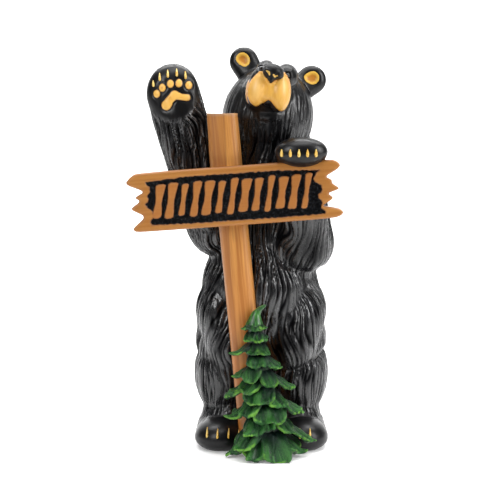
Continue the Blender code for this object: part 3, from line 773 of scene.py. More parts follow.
# %% Press the edges in
push = -0.9 * bell(honey, 0.4, 0.9)
push += np.where(ears < 0.5, -2.6 * step(0.3, -5.0, ears), 0.0) - 0.5 * bell(ears, 0.3, 0.8)
push += np.where(palm < 0.6, 0.5 * step(0.6, -1.6, palm), 0.0) - 1.0 * bell(palm, 0.9, 0.8)
for eye_x, eye_z, size in EYES:
    gap = np.hypot(x - eye_x, z - eye_z) - size
    lid = -1.3 * bell(gap, 0.2, 0.8) + 0.5 * bell(gap, 1.9, 0.7)
    push += np.where(facing & (y < -30), lid, 0.0)
points += outward * push[:, None]
put_places(bear, points)
print("deepest press:", round(float(-push.min()), 2), "mm")

# %% [markdown]
# Light and shade are painted in as well: a painted highlight on each of the two lobes of the muzzle,
# painted shade that keeps the black dull and dark under the chin, on the arms, the holding elbow and the
# legs, and painted highlight streaks on the waving arm and the belly. Each of these is one number per
# vertex. The mesh is thinned at the end, because flat places need fewer faces.

# %% Keep the masks and thin the mesh
# Painted highlight: a pale patch on each lobe of the muzzle.
lobe_highlight = bell(x, -5.5, 5.0) * bell(z, 376.0, 9.0) + 0.8 * bell(x, 22.5, 4.0) * bell(z, 376.0, 9.0)
# Painted shade: under the chin, on the arms, on the holding elbow under the board and on the legs.
arm_shade = 0.42 * closeness(points, (-72, -40, 300), (34, 50, 70))
leg_shade = 0.32 * step(150.0, 100.0, points[:, 2])
elbow_shade = 0.8 * closeness(points, (52, -40, 214), (40, 56, 42))
chin_shade = closeness(points, (9, -44, 326), (42, 40, 34))
shade = np.max((chin_shade, arm_shade, elbow_shade, leg_shade), axis=0)
# Painted highlight: light grey streaks on the waving arm and the belly.
arm_highlight = closeness(points, (-66, -45, 300), (34, 60, 90))
belly_highlight = 0.45 * closeness(points, (2, -58, 172), (34, 40, 75))
painted_highlight = np.maximum(arm_highlight, belly_highlight)
masks = (honey, ears, palm, lobe_highlight, crest, full, shade, painted_highlight)
for name, values in zip(("honey", "ears", "palm", "lobe_highlight", "crest", "hairy", "shade", "painted_highlight"), masks):
    store(bear, name, values)
BODY_TRIANGLES = 198000
thin = bear.modifiers.new("thin", "DECIMATE")
thin.ratio = BODY_TRIANGLES / (2 * len(bear.data.polygons))
apply_modifiers(bear)
bear.data.shade_smooth()
print("thinned body:", len(bear.data.polygons), "faces")

# %% [markdown]
# The coat's paint is a satin black that dries slightly blue, with a light grey dry-brushed over the
# crests of the locks. The cuts get a deeper black, as painted shade. Thin hair lines are only a bump,
# because they are finer than a casting can hold. One material paints the whole skin, because the edges
# between its colours are masks and need no seam in the mesh.

# %% Black coat
coat = Paint("coat_paint", 0.34, coat=0.0)
hair = coat.combed(310.0, 0.05)
cloud = coat.speckle(34.0, 0.35, 0.7)
ridge = coat.attribute("crest")
dry = coat.times(coat.between(ridge, 0.55, 0.95), coat.between(hair, 0.46, 0.66))
# Painted shade: the cuts get a deeper black than the crests.
black = coat.mix(coat.between(ridge, 0.30, 0.75), (0.0010, 0.0010, 0.0012), (0.0055, 0.0055, 0.0062))
bare = coat.mask("hairy", 0.0, 0.6, 1.0, 0.0)
dry = coat.times(dry, coat.math("SUBTRACT", 0.6, coat.times(bare, 0.55)))
# Painted shade: the shade mask takes the dry-brushed grey off, so the black is darker there.
dry = coat.times(dry, coat.math("SUBTRACT", 1.0, coat.attribute("shade")))
black = coat.mix(dry, black, (0.040, 0.041, 0.045))
# Painted highlight: light grey on the crests of the waving arm and the belly.
highlight_streaks = coat.times(coat.attribute("painted_highlight"), coat.between(ridge, 0.62, 0.88))
highlight_streaks = coat.times(highlight_streaks, coat.between(hair, 0.52, 0.64))
highlight_streaks = coat.times(highlight_streaks, coat.math("SUBTRACT", 1.0, bare))
black = coat.mix(highlight_streaks, black, (0.25, 0.252, 0.258))
black = coat.mix(coat.times(cloud, 0.25), black, (0.008, 0.008, 0.010))
black = coat.mix(coat.times(bare, 0.8), black, (0.0022, 0.0022, 0.0026))
print("black coat mixed")

# %% Honey yellow muzzle, ears and pads
brush = coat.noise(300.0, (1.0, 1.0, 0.22))
warm = coat.mix(coat.between(brush, 0.30, 0.8), (0.72, 0.37, 0.062), (0.82, 0.47, 0.10))
# Painted highlight: the lobes of the muzzle are mixed towards pale cream.
warm = coat.mix(coat.times(coat.attribute("lobe_highlight"), 0.42), warm, (0.92, 0.66, 0.32))
honey_mask = coat.attribute("honey")
shaded = coat.mix(coat.between(honey_mask, -2.6, -0.2, 0.0, 0.8), warm, (0.60, 0.25, 0.035))
painted = coat.mix(coat.between(honey_mask, -0.15, 0.15), shaded, black)
ear_mask = coat.attribute("ears")
# Painted shade: the middle of each ear's dish is a darker orange than its rim.
shaded_dish = coat.mix(coat.between(ear_mask, -4.2, -1.4), (0.50, 0.20, 0.025), (0.78, 0.46, 0.07))
painted = coat.mix(coat.between(ear_mask, -0.15, 0.15), shaded_dish, painted)
palm_mask = coat.attribute("palm")
pad = coat.mix(coat.between(palm_mask, -3.6, -1.4), (0.62, 0.25, 0.035), (0.86, 0.50, 0.115))
pad = coat.mix(coat.between(palm_mask, -1.1, -0.3, 0.0, 0.7), pad, (0.42, 0.17, 0.03))
painted = coat.mix(coat.between(palm_mask, -0.15, 0.15), pad, painted)
coat.colour(painted)
print("honey places mixed")

# %% [markdown]
# Gloss follows the carving. The backs of the locks were rubbed by the brush and shine, the cuts stay
# dull, and the bare feet and paws lie between. The shade mask takes more gloss away under the chin.

# %% Gloss and hair lines
rub = coat.between(ridge, 0.2, 0.9, 0.48, 0.24)
coat.roughness(coat.math("ADD", rub, coat.times(bare, 0.10)))
gleam = coat.between(ridge, 0.35, 0.85, 0.02, 0.80)
gleam = coat.math("SUBTRACT", gleam, coat.times(bare, 0.44))
gleam = coat.times(gleam, coat.mask("shade", 0.1, 0.8, 1.0, 0.25))
coat.link(gleam, coat.shader.inputs["Specular IOR Level"])
hairy = coat.mask("hairy", 0.0, 0.6, 0.12, 1.0)
coat.bump(coat.times(hair, hairy), 0.7, 0.0010)
bear.data.materials.append(coat.material)

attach(bear, "root")
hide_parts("bear")
print("body triangles:", sum(len(p.vertices) - 2 for p in bear.data.polygons))

# %% [markdown]
# ## Nose, eyes and claws
#
# These are small glossy forms that sit in the skin. The claws and eyes are placed by their front-view
# positions and are dropped onto the carved skin along Y, so they touch whatever shape lies there. The
# nose is drawn in place.

# %% Find the skin and set small forms on it
skin = BVHTree.FromPolygons([v.co for v in bear.data.vertices], [p.vertices for p in bear.data.polygons])


def on_skin(x, z, lift=0.0):
    """The point of the skin that faces the front, in drawing millimetres."""
    hit = skin.ray_cast(mm(x, -200.0, z), Vector((0.0, 1.0, 0.0)))[0]
    return hit / SCALE + Vector((0.0, -lift, 0.0))


def claw(shape, x, z, long, turn, wide=1.3, lift=0.4):
    """A slim tapered claw that lies on the skin and points up, its root below."""
    root = on_skin(x, z - 0.3 * long)
    tip = on_skin(x + math.sin(math.radians(turn)) * 0.6 * long, z + 0.5 * long)
    root += Vector((0.0, -lift, 0.0))
    tip += Vector((0.0, -lift * 0.5, 0.0))
    middle = root.lerp(tip, 0.35) + Vector((0.0, -0.5, 0.0))
    sizes = ((wide, 1.8, wide * 1.2), (wide, 1.8, wide), (wide * 0.35, 0.8, wide * 0.5))
    drawn = zip((root, middle, tip), sizes)
    add_limb(shape, *[(c * SCALE, [r * SCALE for r in radii]) for c, radii in drawn], detail=3)


print("the skin under the nose is at y =", round(on_skin(8.0, 378.0).y, 1))

# %% Claws
PALM_CLAWS = (
    # x, z, lean in degrees
    (-111.0, 380.0, -6), (-104.3, 386.5, -5), (-96.0, 389.8, -4), (-86.8, 391.0, -5), (-77.8, 388.4, -8),
)
FOOT_CLAWS = (-56.7, -45.7, -34.2, -23.6, -14.0, 11.0, 19.5, 29.0, 39.5, 50.1)
horn = bmesh.new()
for x, z, turn in PALM_CLAWS:
    claw(horn, x, z, 8.2 if x > -110.0 else 6.4, turn)
for index in range(5):
    claw(horn, grip.x + 8.5 * (index - 2) - 2.0, grip.z + 8.4, 6.8, 0.0, wide=1.55)
for x in FOOT_CLAWS:
    claw(horn, x, 19.6, 9.5, 3.0, wide=1.15, lift=0.8)
claws = finish_piece("claws", horn)
melt(claws, 0.00045, 2)
print("claws:", len(claws.data.polygons), "faces")

# %% Nose and eyes
lump = bmesh.new()
drawn_ball(lump, (11.2, -72, 391), (10.9, 10.5, 8.2), (0, 14, 0))
drawn_ball(lump, (6.5, -73.5, 391), (5.5, 8.5, 6.0), (0, 30, 0))
drawn_ball(lump, (16.8, -73, 388.5), (5.3, 8.5, 5.5), (0, -10, 0))
drawn_limb(lump, ((9.5, -75, 388), (7, 8, 6)), ((8.8, -77.5, 382.0), (2.2, 4.5, 2.6)))
nose = finish_piece("nose", lump)
melt(nose, 0.0007, 3)
points = places(nose)
outward = normals(nose)
x, y, z = points.T
nostril = np.minimum(
    capsule_row(((4.2, 392.0, 0.6), (6.6, 390.2, 1.3), (7.2, 388.0, 0.8)), x, z),
    capsule_row(((11.6, 387.6, 0.9), (13.2, 386.0, 1.0), (15.2, 386.6, 0.6)), x, z),
)
nostril = np.where(y < -72, nostril, 9.0)
points += outward * (-1.3 * step(0.6, -1.0, nostril) + 0.3 * bell(nostril, 1.2, 0.7))[:, None]
put_places(nose, points)
store(nose, "nostril", nostril)

bead = bmesh.new()
for x, z, size in EYES:
    place = on_skin(x, z)
    add_ball(bead, (place + Vector((0.0, 0.5, 0.0))) * SCALE, [r * SCALE for r in (size, size, size)])
eyes = finish_piece("eyes", bead)
print("nose:", len(nose.data.polygons), "faces; eyes:", len(eyes.data.polygons))

# %% Paint nose, eyes and claws
gloss = Paint("nose_paint", 0.40, coat=0.0)
spot = gloss.attribute("nostril")
gloss.colour(gloss.mix(gloss.between(spot, -0.15, 0.15), (0.80, 0.50, 0.12), (0.003, 0.003, 0.0035)))
gloss.roughness(gloss.between(gloss.noise(200.0), 0.3, 0.7, 0.34, 0.48))
gloss.bump(gloss.noise(700.0), 0.15, 0.0004)
gloss.shader.inputs["Specular IOR Level"].default_value = 0.28
nose.data.materials.append(gloss.material)

bead_paint = Paint("eye_paint", 0.10, coat=0.8)
depths = bead_paint.noise(160.0)
bead_paint.colour(bead_paint.mix(depths, (0.004, 0.004, 0.005), (0.012, 0.010, 0.010)))
eyes.data.materials.append(bead_paint.material)

horn_paint = Paint("claw_paint", 0.38, coat=0.15)
streak = horn_paint.noise(500.0, (1.0, 1.0, 0.3))
ripe = horn_paint.between(streak, 0.38, 0.66)
horn_paint.colour(horn_paint.mix(ripe, (0.72, 0.40, 0.05), (0.92, 0.68, 0.20)))
horn_paint.roughness(horn_paint.between(streak, 0.3, 0.7, 0.32, 0.46))
horn_paint.bump(streak, 0.2, 0.0003)
claws.data.materials.append(horn_paint.material)

for piece, name in ((nose, "coat_paint"), (eyes, "coat_paint"), (claws, "honey_paint")):
    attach(piece, "root")
print("face and claws are painted")

# %% [markdown]
# ## The sign post
#
# The post is a split log, hewn with a wide blade. Two long faces meet in front in a soft arris, and the
# blade left shallow flats on them. It leans on the belly. A section is drawn once and pulled up the
# height in short steps, so that each step can be pressed in a little by a slow wave.

# %% Hew the post
def post_section():
    """The section as (x, y) points in metres, from its back left corner round the front."""
    half = POST_WIDTH / 2
    depth = POST_DEPTH
    corners = [
        (-half, POST_BACK - 0.16 * depth), (-half, POST_FRONT + 0.13 * depth), (0.12 * half, POST_FRONT),
        (half, POST_FRONT + 0.18 * depth), (half, POST_BACK - 0.16 * depth), (0.62 * half, POST_BACK),
        (-0.62 * half, POST_BACK),
    ]
    return rounded(corners, 3)


def across_post(points):
    """How far points lie to the side of the post's middle line, in drawing millimetres."""
    return points[:, 0] - 1000.0 * post_x(points[:, 2] / 1000.0)


def face_rank(face):
    """A number of its own for each face, from its highest and its lowest vertex."""
    numbers = [vert.index for vert in face.verts]
    return 100000.0 * max(numbers) + min(numbers)


section = post_section()
STEPS = 140
shape = bmesh.new()
ring = [shape.verts.new((post_x(0.0) + px, py, 0.0)) for px, py in section]
edges = [shape.edges.new((a, b)) for a, b in zip(ring, ring[1:] + ring[:1])]
rise = POST_HEIGHT / STEPS
for number in range(STEPS):
    grown = bmesh.ops.extrude_edge_only(shape, edges=edges)["geom"]
    edges = [e for e in grown if isinstance(e, bmesh.types.BMEdge)]
    verts = [v for v in grown if isinstance(v, bmesh.types.BMVert)]
    bmesh.ops.translate(shape, verts=verts, vec=(-rise * math.tan(POST_LEAN), 0.0, rise))
bmesh.ops.holes_fill(shape, edges=shape.edges, sides=len(ring))
# The extrusion makes its faces in no fixed order, so they are sorted, and every run gives the same mesh.
shape.verts.index_update()
shape.faces.sort(key=face_rank)
bmesh.ops.recalc_face_normals(shape, faces=shape.faces)
post = finish_piece("post_body", shape)
print("post blank:", len(section), "points round,", STEPS, "steps high")

# %% [markdown]
# The blade's flats are broad and shallow, and splits run far along the grain, so two noises of very
# different length press the surface in. Above the board the left side swells out a little.

# %% Press the blade marks in
points = places(post)
outward = normals(post)
hewn = np.empty(len(points))
for index, (across, (_, y, z)) in enumerate(zip(across_post(points), points)):
    flat = noise.noise(Vector((across / 16.0, y / 16.0, z / 34.0)))
    split = noise.noise(Vector((across / 1.7, y / 2.5, z / 70.0 + 7.0)))
    hewn[index] = 0.35 * max(0.0, flat) + 0.40 * max(0.0, abs(split) - 0.22)
points[:, :2] -= outward[:, :2] * hewn[:, None]
left = across_post(points) < -4.0
bulge = 2.2 * bell(points[:, 2], 298.0, 42.0) + 0.7 * step(230.0, 270.0, points[:, 2])
points[:, 0] -= left * bulge
top = step(346.0, 349.5, points[:, 2])
points[:, 2] -= top * 0.6 * np.abs(np.sin(points[:, 0] * 0.9))
put_places(post, points)
store(post, "worn", hewn)
store(post, "face", across_post(points) / (500.0 * POST_WIDTH))
print("post:", len(post.data.polygons), "faces")

# %% [markdown]
# The caster's painter stained the post: honey brown, darker streaks along the grain, redder towards the
# ground, and thin dark lines where the blade lifted a splinter. The left face is mixed darker than the
# right, as painted shade.

# %% Paint the post
stain = Paint("post_stain", 0.42)
streaks, bands = stain.grain((0.0, POST_LEAN, 0.0), 300.0, 0.03)
height = add_node(stain.tree, "ShaderNodeSeparateXYZ")
stain.link(stain.where.outputs["Object"], height.inputs["Vector"])
wood = stain.mix(stain.between(streaks, 0.30, 0.70), (0.36, 0.128, 0.021), (0.64, 0.305, 0.076))
dark = stain.times(stain.between(bands, 0.52, 0.72), 0.35)
wood = stain.mix(dark, wood, (0.27, 0.098, 0.026))
# Painted shade: the post's face left of the arris is mixed darker; near the ground the darker part is
# narrower.
arris = stain.between(height.outputs["Z"], 0.15, 0.35, 0.48, -0.10)
split = stain.math("ADD", stain.attribute("face"), arris)
split = stain.math("ADD", split, stain.times(bands, 0.16))
wood = stain.mix(stain.between(split, -0.10, 0.04, 0.55, 0.0), wood, (0.30, 0.104, 0.022))
line = stain.between(stain.math("ABSOLUTE", split, 0.0), 0.0, 0.09, 0.55, 0.0)
wood = stain.mix(line, wood, (0.20, 0.066, 0.020))
low = stain.between(height.outputs["Z"], 0.08, 0.26, 0.60, 0.0)
wood = stain.mix(low, wood, (0.44, 0.140, 0.014))
crack = stain.mask("worn", 0.16, 0.36, 0.0, 0.30)
wood = stain.mix(crack, wood, (0.045, 0.018, 0.008))
grey = stain.between(height.outputs["Z"], 0.345, 0.350, 0.0, 0.45)
wood = stain.mix(grey, wood, (0.30, 0.22, 0.15))
stain.colour(wood)
stain.roughness(stain.between(streaks, 0.3, 0.7, 0.5, 0.36))
stain.bump(streaks, 0.6, 0.0007)
post.data.materials.append(stain.material)
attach(post, "root")
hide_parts("sign_post")

# %% [markdown]
# ## The sign board
#
# The board looks as if it was split off a log: its ends end in tongues, and a ragged panel is sunk
# into its face with small gouges. The row of plain leaning strokes stands for the lettering of the
# original. The board is worked flat on the bench, in its own millimetres, and tilted at the end.

# %% Outlines of the board, its panel and its strokes
LEFT_SPLITS = (
    (0.9, 1.0), (0.955, 0.88), (1.0, 0.71), (0.98, 0.6), (0.831, 0.36), (0.932, 0.18),
    (0.876, 0.05), (0.984, -0.2), (0.838, -0.48), (0.97, -0.86), (0.95, -0.97), (0.89, -1.0),
)
RIGHT_SPLITS = (
    (0.9, -1.0), (0.975, -0.93), (1.0, -0.82), (0.975, -0.71), (0.89, -0.62), (0.798, -0.56),
    (0.922, -0.32), (0.862, -0.14), (0.935, -0.07), (0.98, 0.0), (0.908, 0.19), (0.912, 0.3),
    (0.85, 0.43), (0.96, 0.63), (1.0, 0.76), (0.975, 0.9), (0.915, 1.0),
)
LEFT_PANEL = (
    (0.835, 0.97), (0.765, 0.49), (0.811, 0.28), (0.797, 0.08), (0.838, -0.13), (0.752, -0.5),
    (0.8, -0.87), (0.787, -1.02),
)
RIGHT_PANEL = (
    (0.82, -1.06), (0.832, -0.95), (0.786, -0.72), (0.814, -0.52), (0.758, -0.3), (0.83, 0.08),
    (0.738, 0.4), (0.742, 0.55), (0.81, 0.93),
)
PANEL_RIM, PANEL_DEPTH = 6.1, 2.8
STROKES, STROKE_ROW, STROKE_TALL, STROKE_WIDE = 13, 161.0, 34.0, 8.4
LONG = 500.0 * BOARD_LENGTH
TALL = 500.0 * BOARD_HEIGHT


def bench_outline(left, right, tall):
    return [(-s * LONG, t * tall) for s, t in left] + [(s * LONG, t * tall) for s, t in right]


def stroke_outline(index):
    """A leaning chisel stroke, waisted in the middle and flared at its ends."""
    pitch = STROKE_ROW / STROKES
    middle = -STROKE_ROW / 2 + (index + 0.5) * pitch - 2.0
    tall = STROKE_TALL / 2 * (1.0 + 0.07 * math.sin(2.3 * index))
    wide = STROKE_WIDE / 2 * (1.0 + 0.22 * math.sin(1.9 * index + 0.6))
    shape = ((-1.0, 0.9), (-0.72, 1.0), (0.0, 0.62), (0.68, 1.0), (1.0, 1.12))
    side = [(wide * w, tall * t) for t, w in shape]
    other = [(-wide * w, tall * t) for t, w in reversed(shape)]
    lean = math.tan(math.radians(12))
    return np.array([(middle + s + t * lean, t) for s, t in side + other])


print("board:", round(2 * LONG), "by", round(2 * TALL, 1), "mm,", STROKES, "strokes")

# %% Saw the blank
shape = bmesh.new()
edge = rounded(bench_outline(LEFT_SPLITS, RIGHT_SPLITS, TALL), 2, 0.17)
face = shape.faces.new([shape.verts.new(mm(a, BOARD_BACK * 1000.0, u)) for a, u in edge])
depth = mm(0.0, -1000.0 * BOARD_THICKNESS, 0.0)
grown = bmesh.ops.extrude_face_region(shape, geom=[face])["geom"]
bmesh.ops.translate(shape, verts=[v for v in grown if isinstance(v, bmesh.types.BMVert)], vec=depth)
bmesh.ops.recalc_face_normals(shape, faces=shape.faces)
board = finish_piece("board_body", shape)
melt(board, 0.00072, 2)
print("blank:", len(board.data.polygons), "faces")

# %% [markdown]
# The panel is cut down by a knife that wanders, so a noise bends its outline. The strokes stand up from
# its floor, and the floor is stippled by a small gouge. The board's own edges are broken round.

# %% Carve the panel
points = places(board)
along, y, up = points.T
rim = distance_to(edge, along, up)
wobble = np.array([noise.noise(Vector((a / 3.4, u / 3.4, 3.0))) for a, u in zip(along, up)])
border = rounded(bench_outline(LEFT_PANEL, RIGHT_PANEL, TALL - PANEL_RIM), 1)
panel = distance_to(border, along, up) + 0.9 * wobble
strokes = np.full(len(points), 99.0)
for index in range(STROKES):
    strokes = np.minimum(strokes, distance_to(rounded(stroke_outline(index), 1), along, up))
strokes += 0.35 * wobble
recess = np.maximum(panel, -strokes)
front = y < BOARD_FRONT * 1000.0 + 3.0
rough = np.array([noise.noise(Vector((a / 1.5, u / 1.5, 8.0))) for a, u in zip(along, up)])
sink = PANEL_DEPTH * step(0.55, -0.75, recess) + step(-0.3, -1.2, recess) * 0.8 * rough
sink += 0.9 * bell(rim, 0.0, 1.1) + 0.25 * np.abs(wobble)
points[:, 1] += np.where(front, sink, 0.0)
recess = np.where(front, recess, FAR)
put_places(board, points)
store(board, "recess", recess)
store(board, "strokes", np.where(front, strokes, FAR))
store(board, "rim", rim)
store(board, "rough", rough)
turn = Matrix.Rotation(-BOARD_TILT, 4, "Y")
middle = board_point(0.0, 0.0)
board.data.transform(Matrix.Translation((middle[0], 0.0, middle[1])) @ turn)
print("board:", 2 * len(board.data.polygons), "triangles")

# %% Paint the board
stain = Paint("board_stain", 0.42)
streaks, bands = stain.grain((0.0, BOARD_TILT - math.pi / 2, 0.0), 300.0, 0.02)
wood = stain.mix(stain.between(streaks, 0.30, 0.70), (0.33, 0.122, 0.019), (0.43, 0.183, 0.037))
wood = stain.mix(stain.times(stain.between(bands, 0.52, 0.70), 0.35), wood, (0.30, 0.105, 0.020))
raised = stain.mask("strokes", -0.2, 0.4, 0.55, 0.0)
wood = stain.mix(raised, wood, (0.38, 0.13, 0.026))
wood = stain.mix(stain.mask("rim", -1.6, 0.0, 0.0, 0.45), wood, (0.28, 0.09, 0.018))
mask = stain.attribute("recess")
wood = stain.mix(stain.between(mask, 1.1, 0.0, 0.0, 0.75), wood, (0.16, 0.055, 0.014))
glint = stain.mask("rough", 0.05, 0.45)
pitch = stain.mix(stain.times(glint, 0.5), (0.0012, 0.0012, 0.0016), (0.020, 0.024, 0.032))
stain.colour(stain.mix(stain.between(mask, -0.35, 0.15, 1.0, 0.0), wood, pitch))
stain.roughness(stain.between(mask, -0.4, 0.2, 0.34, 0.44))
stain.link(stain.between(mask, -0.4, 0.2, 0.16, 0.5), stain.shader.inputs["Specular IOR Level"])
stain.bump(streaks, 0.4, 0.0005)
board.data.materials.append(stain.material)
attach(board, "root")
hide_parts("sign_board")

# %% [markdown]
# ## The pine
#
# The pine is stylised: each bough is one drooping leaf with a rolled lip, and the leaves lie over each
# other like shingles. A leaf starts as a ball. Its two flat directions become the leaf's length and
# width, the third becomes a thin shell with a bead at the rim, and the whole is bent down from the
# trunk. Cutting leaves from a cone was the other way, but a bent ball gives a closed shell at once.

# %% Where the leaves hang
TREE_BOUGHS = (
    # the tip's x and height, half the leaf's width
    (-35.0, 3.0, 9.0), (-25.0, 10.0, 11.5), (-9.5, 1.5, 13.0), (19.0, 1.0, 12.5), (42.0, 5.0, 11.5),
    (52.0, 16.0, 7.5), (-13.0, 25.0, 11.0), (8.5, 32.0, 5.5), (32.0, 26.0, 9.0), (-36.0, 39.5, 8.5),
    (10.5, 38.0, 14.5), (41.0, 45.0, 9.0), (-18.0, 45.0, 9.0), (-35.5, 61.5, 6.5), (-30.5, 66.0, 6.0),
    (-4.0, 57.0, 13.5), (19.5, 53.5, 10.5), (33.5, 70.0, 6.5), (-18.0, 68.0, 9.0), (12.0, 74.0, 8.0),
    (-28.0, 81.5, 6.5), (-15.0, 80.0, 8.5), (-4.5, 93.0, 9.5), (18.0, 91.0, 8.5), (-30.5, 104.5, 8.0),
    (-13.0, 106.5, 6.0), (-4.0, 105.5, 7.0), (5.5, 105.0, 5.5), (-17.0, 120.0, 5.5), (-5.0, 118.5, 7.0),
    (7.0, 119.5, 5.0), (-20.5, 130.5, 4.5), (-6.5, 130.0, 7.0), (4.0, 131.0, 4.5),
)
TREE_X, TREE_BEND = 6.0, 0.10
TREE_Y = POST_FRONT * 1000.0 - 3.0
TREE_REACH, TREE_TAPER = 47.0, 0.255
TREE_FRONT, FRONT_ROOM = 106.0, 8.4


def trunk_at(height):
    """The trunk's axis at a height, in drawing millimetres."""
    return np.stack((TREE_X - TREE_BEND * height, np.full_like(height, TREE_Y), height), axis=-1)


def reach_at(height):
    """How far the leaves stand out from the trunk at a height."""
    return TREE_REACH - TREE_TAPER * height


def drift(spot, span):
    """A push in millimetres that changes slowly from place to place."""
    x, y, z = spot / span
    return np.array([noise.noise(Vector((x + away, y - away, z + away))) for away in (0.0, 31.7, 57.3)])


def keep_clear(points):
    """Holds points above the ground, before the post, and near the post's face beside it."""
    points[:, 2] = np.maximum(points[:, 2], 0.3)
    beside = np.abs(across_post(points)) < 500.0 * POST_WIDTH + 0.6
    rear = np.where(beside, POST_FRONT * 1000.0 - 0.4, POST_FRONT * 1000.0 + 3.8)
    points[:, 1] = np.minimum(points[:, 1], rear)
    return points


print("the pine has", len(TREE_BOUGHS), "leaves")

# %% Shape one leaf
def bend_leaf(ball, index, bough):
    """Turns the points of a unit ball into one drooping leaf, in drawing millimetres."""
    tip_x, tip_height, wide = bough
    away = tip_x - TREE_X + TREE_BEND * tip_height
    usual = reach_at(tip_height) * (0.94 + 0.06 * math.sin(7.0 * tip_x))
    reach = max(usual, abs(away) + 0.1 * wide)
    angle = math.acos(-away / reach)
    slope = 0.46 + 0.26 * math.sin(angle)
    length, side, skin_side = ball.T
    radius = np.hypot(length, side)
    folds = 1.6 + 0.6 * (index % 3)
    fold = np.cos(folds * math.pi * side + 1.3 * index)
    share = 0.12 + 0.88 * (length + 1.0) / 2.0
    grown = step(0.2, 1.0, share)
    share = share + 0.065 * fold * step(0.4, 1.0, radius) * grown
    rise = np.interp(share, (0.12, 0.40, 0.64, 0.84, 1.0), (1.0, 0.74, 0.42, 0.12, 0.0))
    rise = rise * slope * reach
    width = wide * 1.18 * np.interp(share, (0.12, 0.4, 0.75, 1.0), (0.75, 1.0, 1.12, 1.05))
    sag = 0.10 * wide * side ** 2
    bead = bell(radius, 0.92, 0.08)
    dome = np.sqrt(np.clip(1.0 - radius ** 2, 0.0, 1.0)) ** 0.5
    thick = np.sign(skin_side) * dome * (1.7 + 1.3 * bead)
    thick += fold * grown * (0.15 * wide + 0.45)
    thick += 0.5 * grown * np.sin(2.1 * side * wide + 3.0 * share + index)
    turn = math.pi + angle
    outward = np.array((math.cos(turn), 0.86 * math.sin(turn), 0.0))
    across = np.array((math.sin(angle), -math.cos(angle), 0.0))
    middle = trunk_at(np.full(len(ball), tip_height)) + np.outer(share * reach, outward)
    lean = np.array((0.55 * outward[0], 0.55 * outward[1], 0.84))
    spots = middle + np.outer(side * width, across) + np.outer(thick, lean)
    spots[:, 2] += rise - sag
    rumple = np.array([2.0 * drift(spot, 8.0) + 3.0 * drift(spot, 23.0) for spot in spots])
    spots += grown[:, None] * rumple
    return spots, share, radius, side, fold, skin_side


ball = bmesh.new()
bmesh.ops.create_uvsphere(ball, u_segments=56, v_segments=26, radius=1.0)
ball_mesh = bpy.data.meshes.new("ball")
ball.to_mesh(ball_mesh)
ball.free()
flat = np.empty(len(ball_mesh.vertices) * 3)
ball_mesh.vertices.foreach_get("co", flat)
unit = flat.reshape(-1, 3)
print("a leaf has", len(unit), "points")

# %% [markdown]
# The leaves are melted into one cast, as the mould had them, and that closes the gaps between them. A
# melt forgets what each point was. So every new point takes its numbers from the nearest old one: how
# far along the leaf it lies, how near the lip, and on which fold. The paint reads these.

# %% Hang the leaves and melt them
leaves = bmesh.new()
grown_leaves = []
for index, bough in enumerate(TREE_BOUGHS):
    leaves.from_mesh(ball_mesh)
    where, share, radius, side, fold, skin_side = bend_leaf(unit, index, bough)
    grown_leaves.append((where, share, radius, side + 3.1 * index, fold, skin_side))
spots, shares, rims, fans, ridges, faces_up = (np.concatenate(parts) for parts in zip(*grown_leaves))
pine = finish_piece("pine_boughs", leaves)
bpy.data.meshes.remove(ball_mesh)
points = keep_clear(spots)
put_places(pine, points)
melt(pine, 0.00085, 2)
print("leaves after the melt:", len(pine.data.polygons), "faces")

# %% Hand the numbers over to the new points
nearest = KDTree(len(points))
for index, point in enumerate(points):
    nearest.insert(point, index)
nearest.balance()
source = np.array([nearest.find(point)[1] for point in places(pine)])
points = places(pine)
points[:, 2] = np.maximum(points[:, 2], 0.2)
points[:, 1] = -soft_limit(-points[:, 1], TREE_FRONT, FRONT_ROOM)
put_places(pine, points)
numbers = (shares, rims, fans, ridges, faces_up)
for name, values in zip(("share", "lip", "fan", "ridge", "upper"), numbers):
    store(pine, name, values[source])
print("stored numbers:", ", ".join(a.name for a in pine.data.attributes if a.data_type == "FLOAT"))

# %% [markdown]
# A tapering trunk fills the space behind the leaves, and the leader is a bent horn on top.

# %% Trunk and leader
def tree_mm(height, shift=0.0):
    return tuple(trunk_at(np.array([height]))[0] + (shift, 0.0, 0.0))


stem = bmesh.new()
knots = [(tree_mm(h), (0.5 * reach_at(h), 0.42 * reach_at(h), 8)) for h in (8, 40, 80, 118, 134)]
drawn_limb(stem, *knots)
core = finish_piece("pine_core", stem)
melt(core, 0.0012, 3)
put_places(core, keep_clear(places(core)))

spike = bmesh.new()
drawn_limb(
    spike, (tree_mm(136.0), (9.0, 8.5, 5.0)), (tree_mm(146.0, 2.5), (4.6, 4.6, 4.6)),
    (tree_mm(152.0, 7.5), (2.6, 2.6, 2.6)), (tree_mm(155.0, 12.3), (1.5, 1.5, 1.5)),
)
leader = finish_piece("pine_leader", spike)
melt(leader, 0.0007, 3)
print("core:", len(core.data.polygons), "faces, leader:", len(leader.data.polygons))
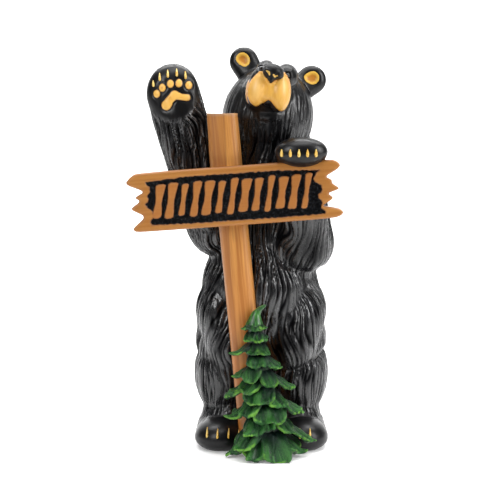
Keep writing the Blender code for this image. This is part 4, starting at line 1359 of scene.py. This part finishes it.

# %% [markdown]
# The pine was painted in three coats: a blackish green, a leaf green brushed over the ridges in strokes
# that fan out to the tip, and a yellow green dabbed along the lips. The blackish green is left near the
# trunk, in the grooves between the strokes and under the leaves, as painted shade.

# %% Strokes that fan out along a leaf
glaze = Paint("pine_paint", 0.36)
glaze.shader.inputs["Specular IOR Level"].default_value = 0.38
fan = add_node(glaze.tree, "ShaderNodeCombineXYZ")
glaze.link(glaze.times(glaze.attribute("fan"), 11.0), fan.inputs["X"])
glaze.link(glaze.times(glaze.attribute("share"), 1.6), fan.inputs["Y"])
needles = preset(add_node(glaze.tree, "ShaderNodeTexNoise"), Scale=1.0, Detail=3.0)
glaze.link(fan.outputs["Vector"], needles.inputs["Vector"])
streak = needles.outputs["Fac"]
print("needle strokes mixed")

# %% Paint the leaves
grown = glaze.mask("share", 0.40, 0.95)
# Painted shade: blackish green near the trunk, under the leaves above, turning to leaf green towards the
# tip.
green = glaze.mix(grown, (0.0015, 0.013, 0.009), (0.008, 0.080, 0.011))
ridge = glaze.mask("ridge", -0.2, 1.0)
ridge = glaze.times(ridge, grown)
green = glaze.mix(glaze.times(ridge, 0.8), green, (0.030, 0.155, 0.018))
stroke = glaze.times(glaze.between(streak, 0.50, 0.66, 0.0, 0.7), grown)
green = glaze.mix(stroke, green, (0.055, 0.20, 0.035))
# Painted shade: the grooves between the needle strokes are darkened.
green = glaze.mix(glaze.between(streak, 0.34, 0.48, 0.7, 0.0), green, (0.0025, 0.014, 0.008))
edge = glaze.mask("lip", 0.86, 0.97)
outer = glaze.mask("share", 0.45, 0.85)
edge = glaze.times(edge, outer)
edge = glaze.times(edge, glaze.speckle(80.0, 0.44, 0.60))
green = glaze.mix(edge, green, (0.13, 0.35, 0.035))
# Painted shade: the undersides of the leaves are darker.
underside_shade = glaze.mask("upper", -0.25, 0.0, 0.75, 0.0)
green = glaze.mix(underside_shade, green, (0.004, 0.022, 0.012))
glaze.colour(green)
glaze.roughness(glaze.between(streak, 0.3, 0.7, 0.32, 0.46))
glaze.bump(streak, 1.0, 0.0026)
pine.data.materials.append(glaze.material)
print("leaves are painted")

# %% Paint the trunk and the leader
bark = Paint("pine_core_paint", 0.4, coat=0.15)
run = bark.noise(260.0, (1.0, 1.0, 0.2))
light = bark.between(run, 0.35, 0.65)
bark.colour(bark.mix(light, (0.002, 0.012, 0.007), (0.016, 0.075, 0.016)))
bark.bump(run, 0.6, 0.001)
core.data.materials.append(bark.material)

tip_paint = Paint("pine_leader_paint", 0.36, coat=0.2)
run = tip_paint.noise(420.0, (1.0, 1.0, 0.16))
light = tip_paint.between(run, 0.38, 0.64)
tip_paint.colour(tip_paint.mix(light, (0.010, 0.055, 0.012), (0.045, 0.19, 0.028)))
tip_paint.bump(run, 0.6, 0.001)
leader.data.materials.append(tip_paint.material)

for piece in (pine, core, leader):
    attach(piece, "root")
    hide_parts("pine_tree")
print("the pine is painted")
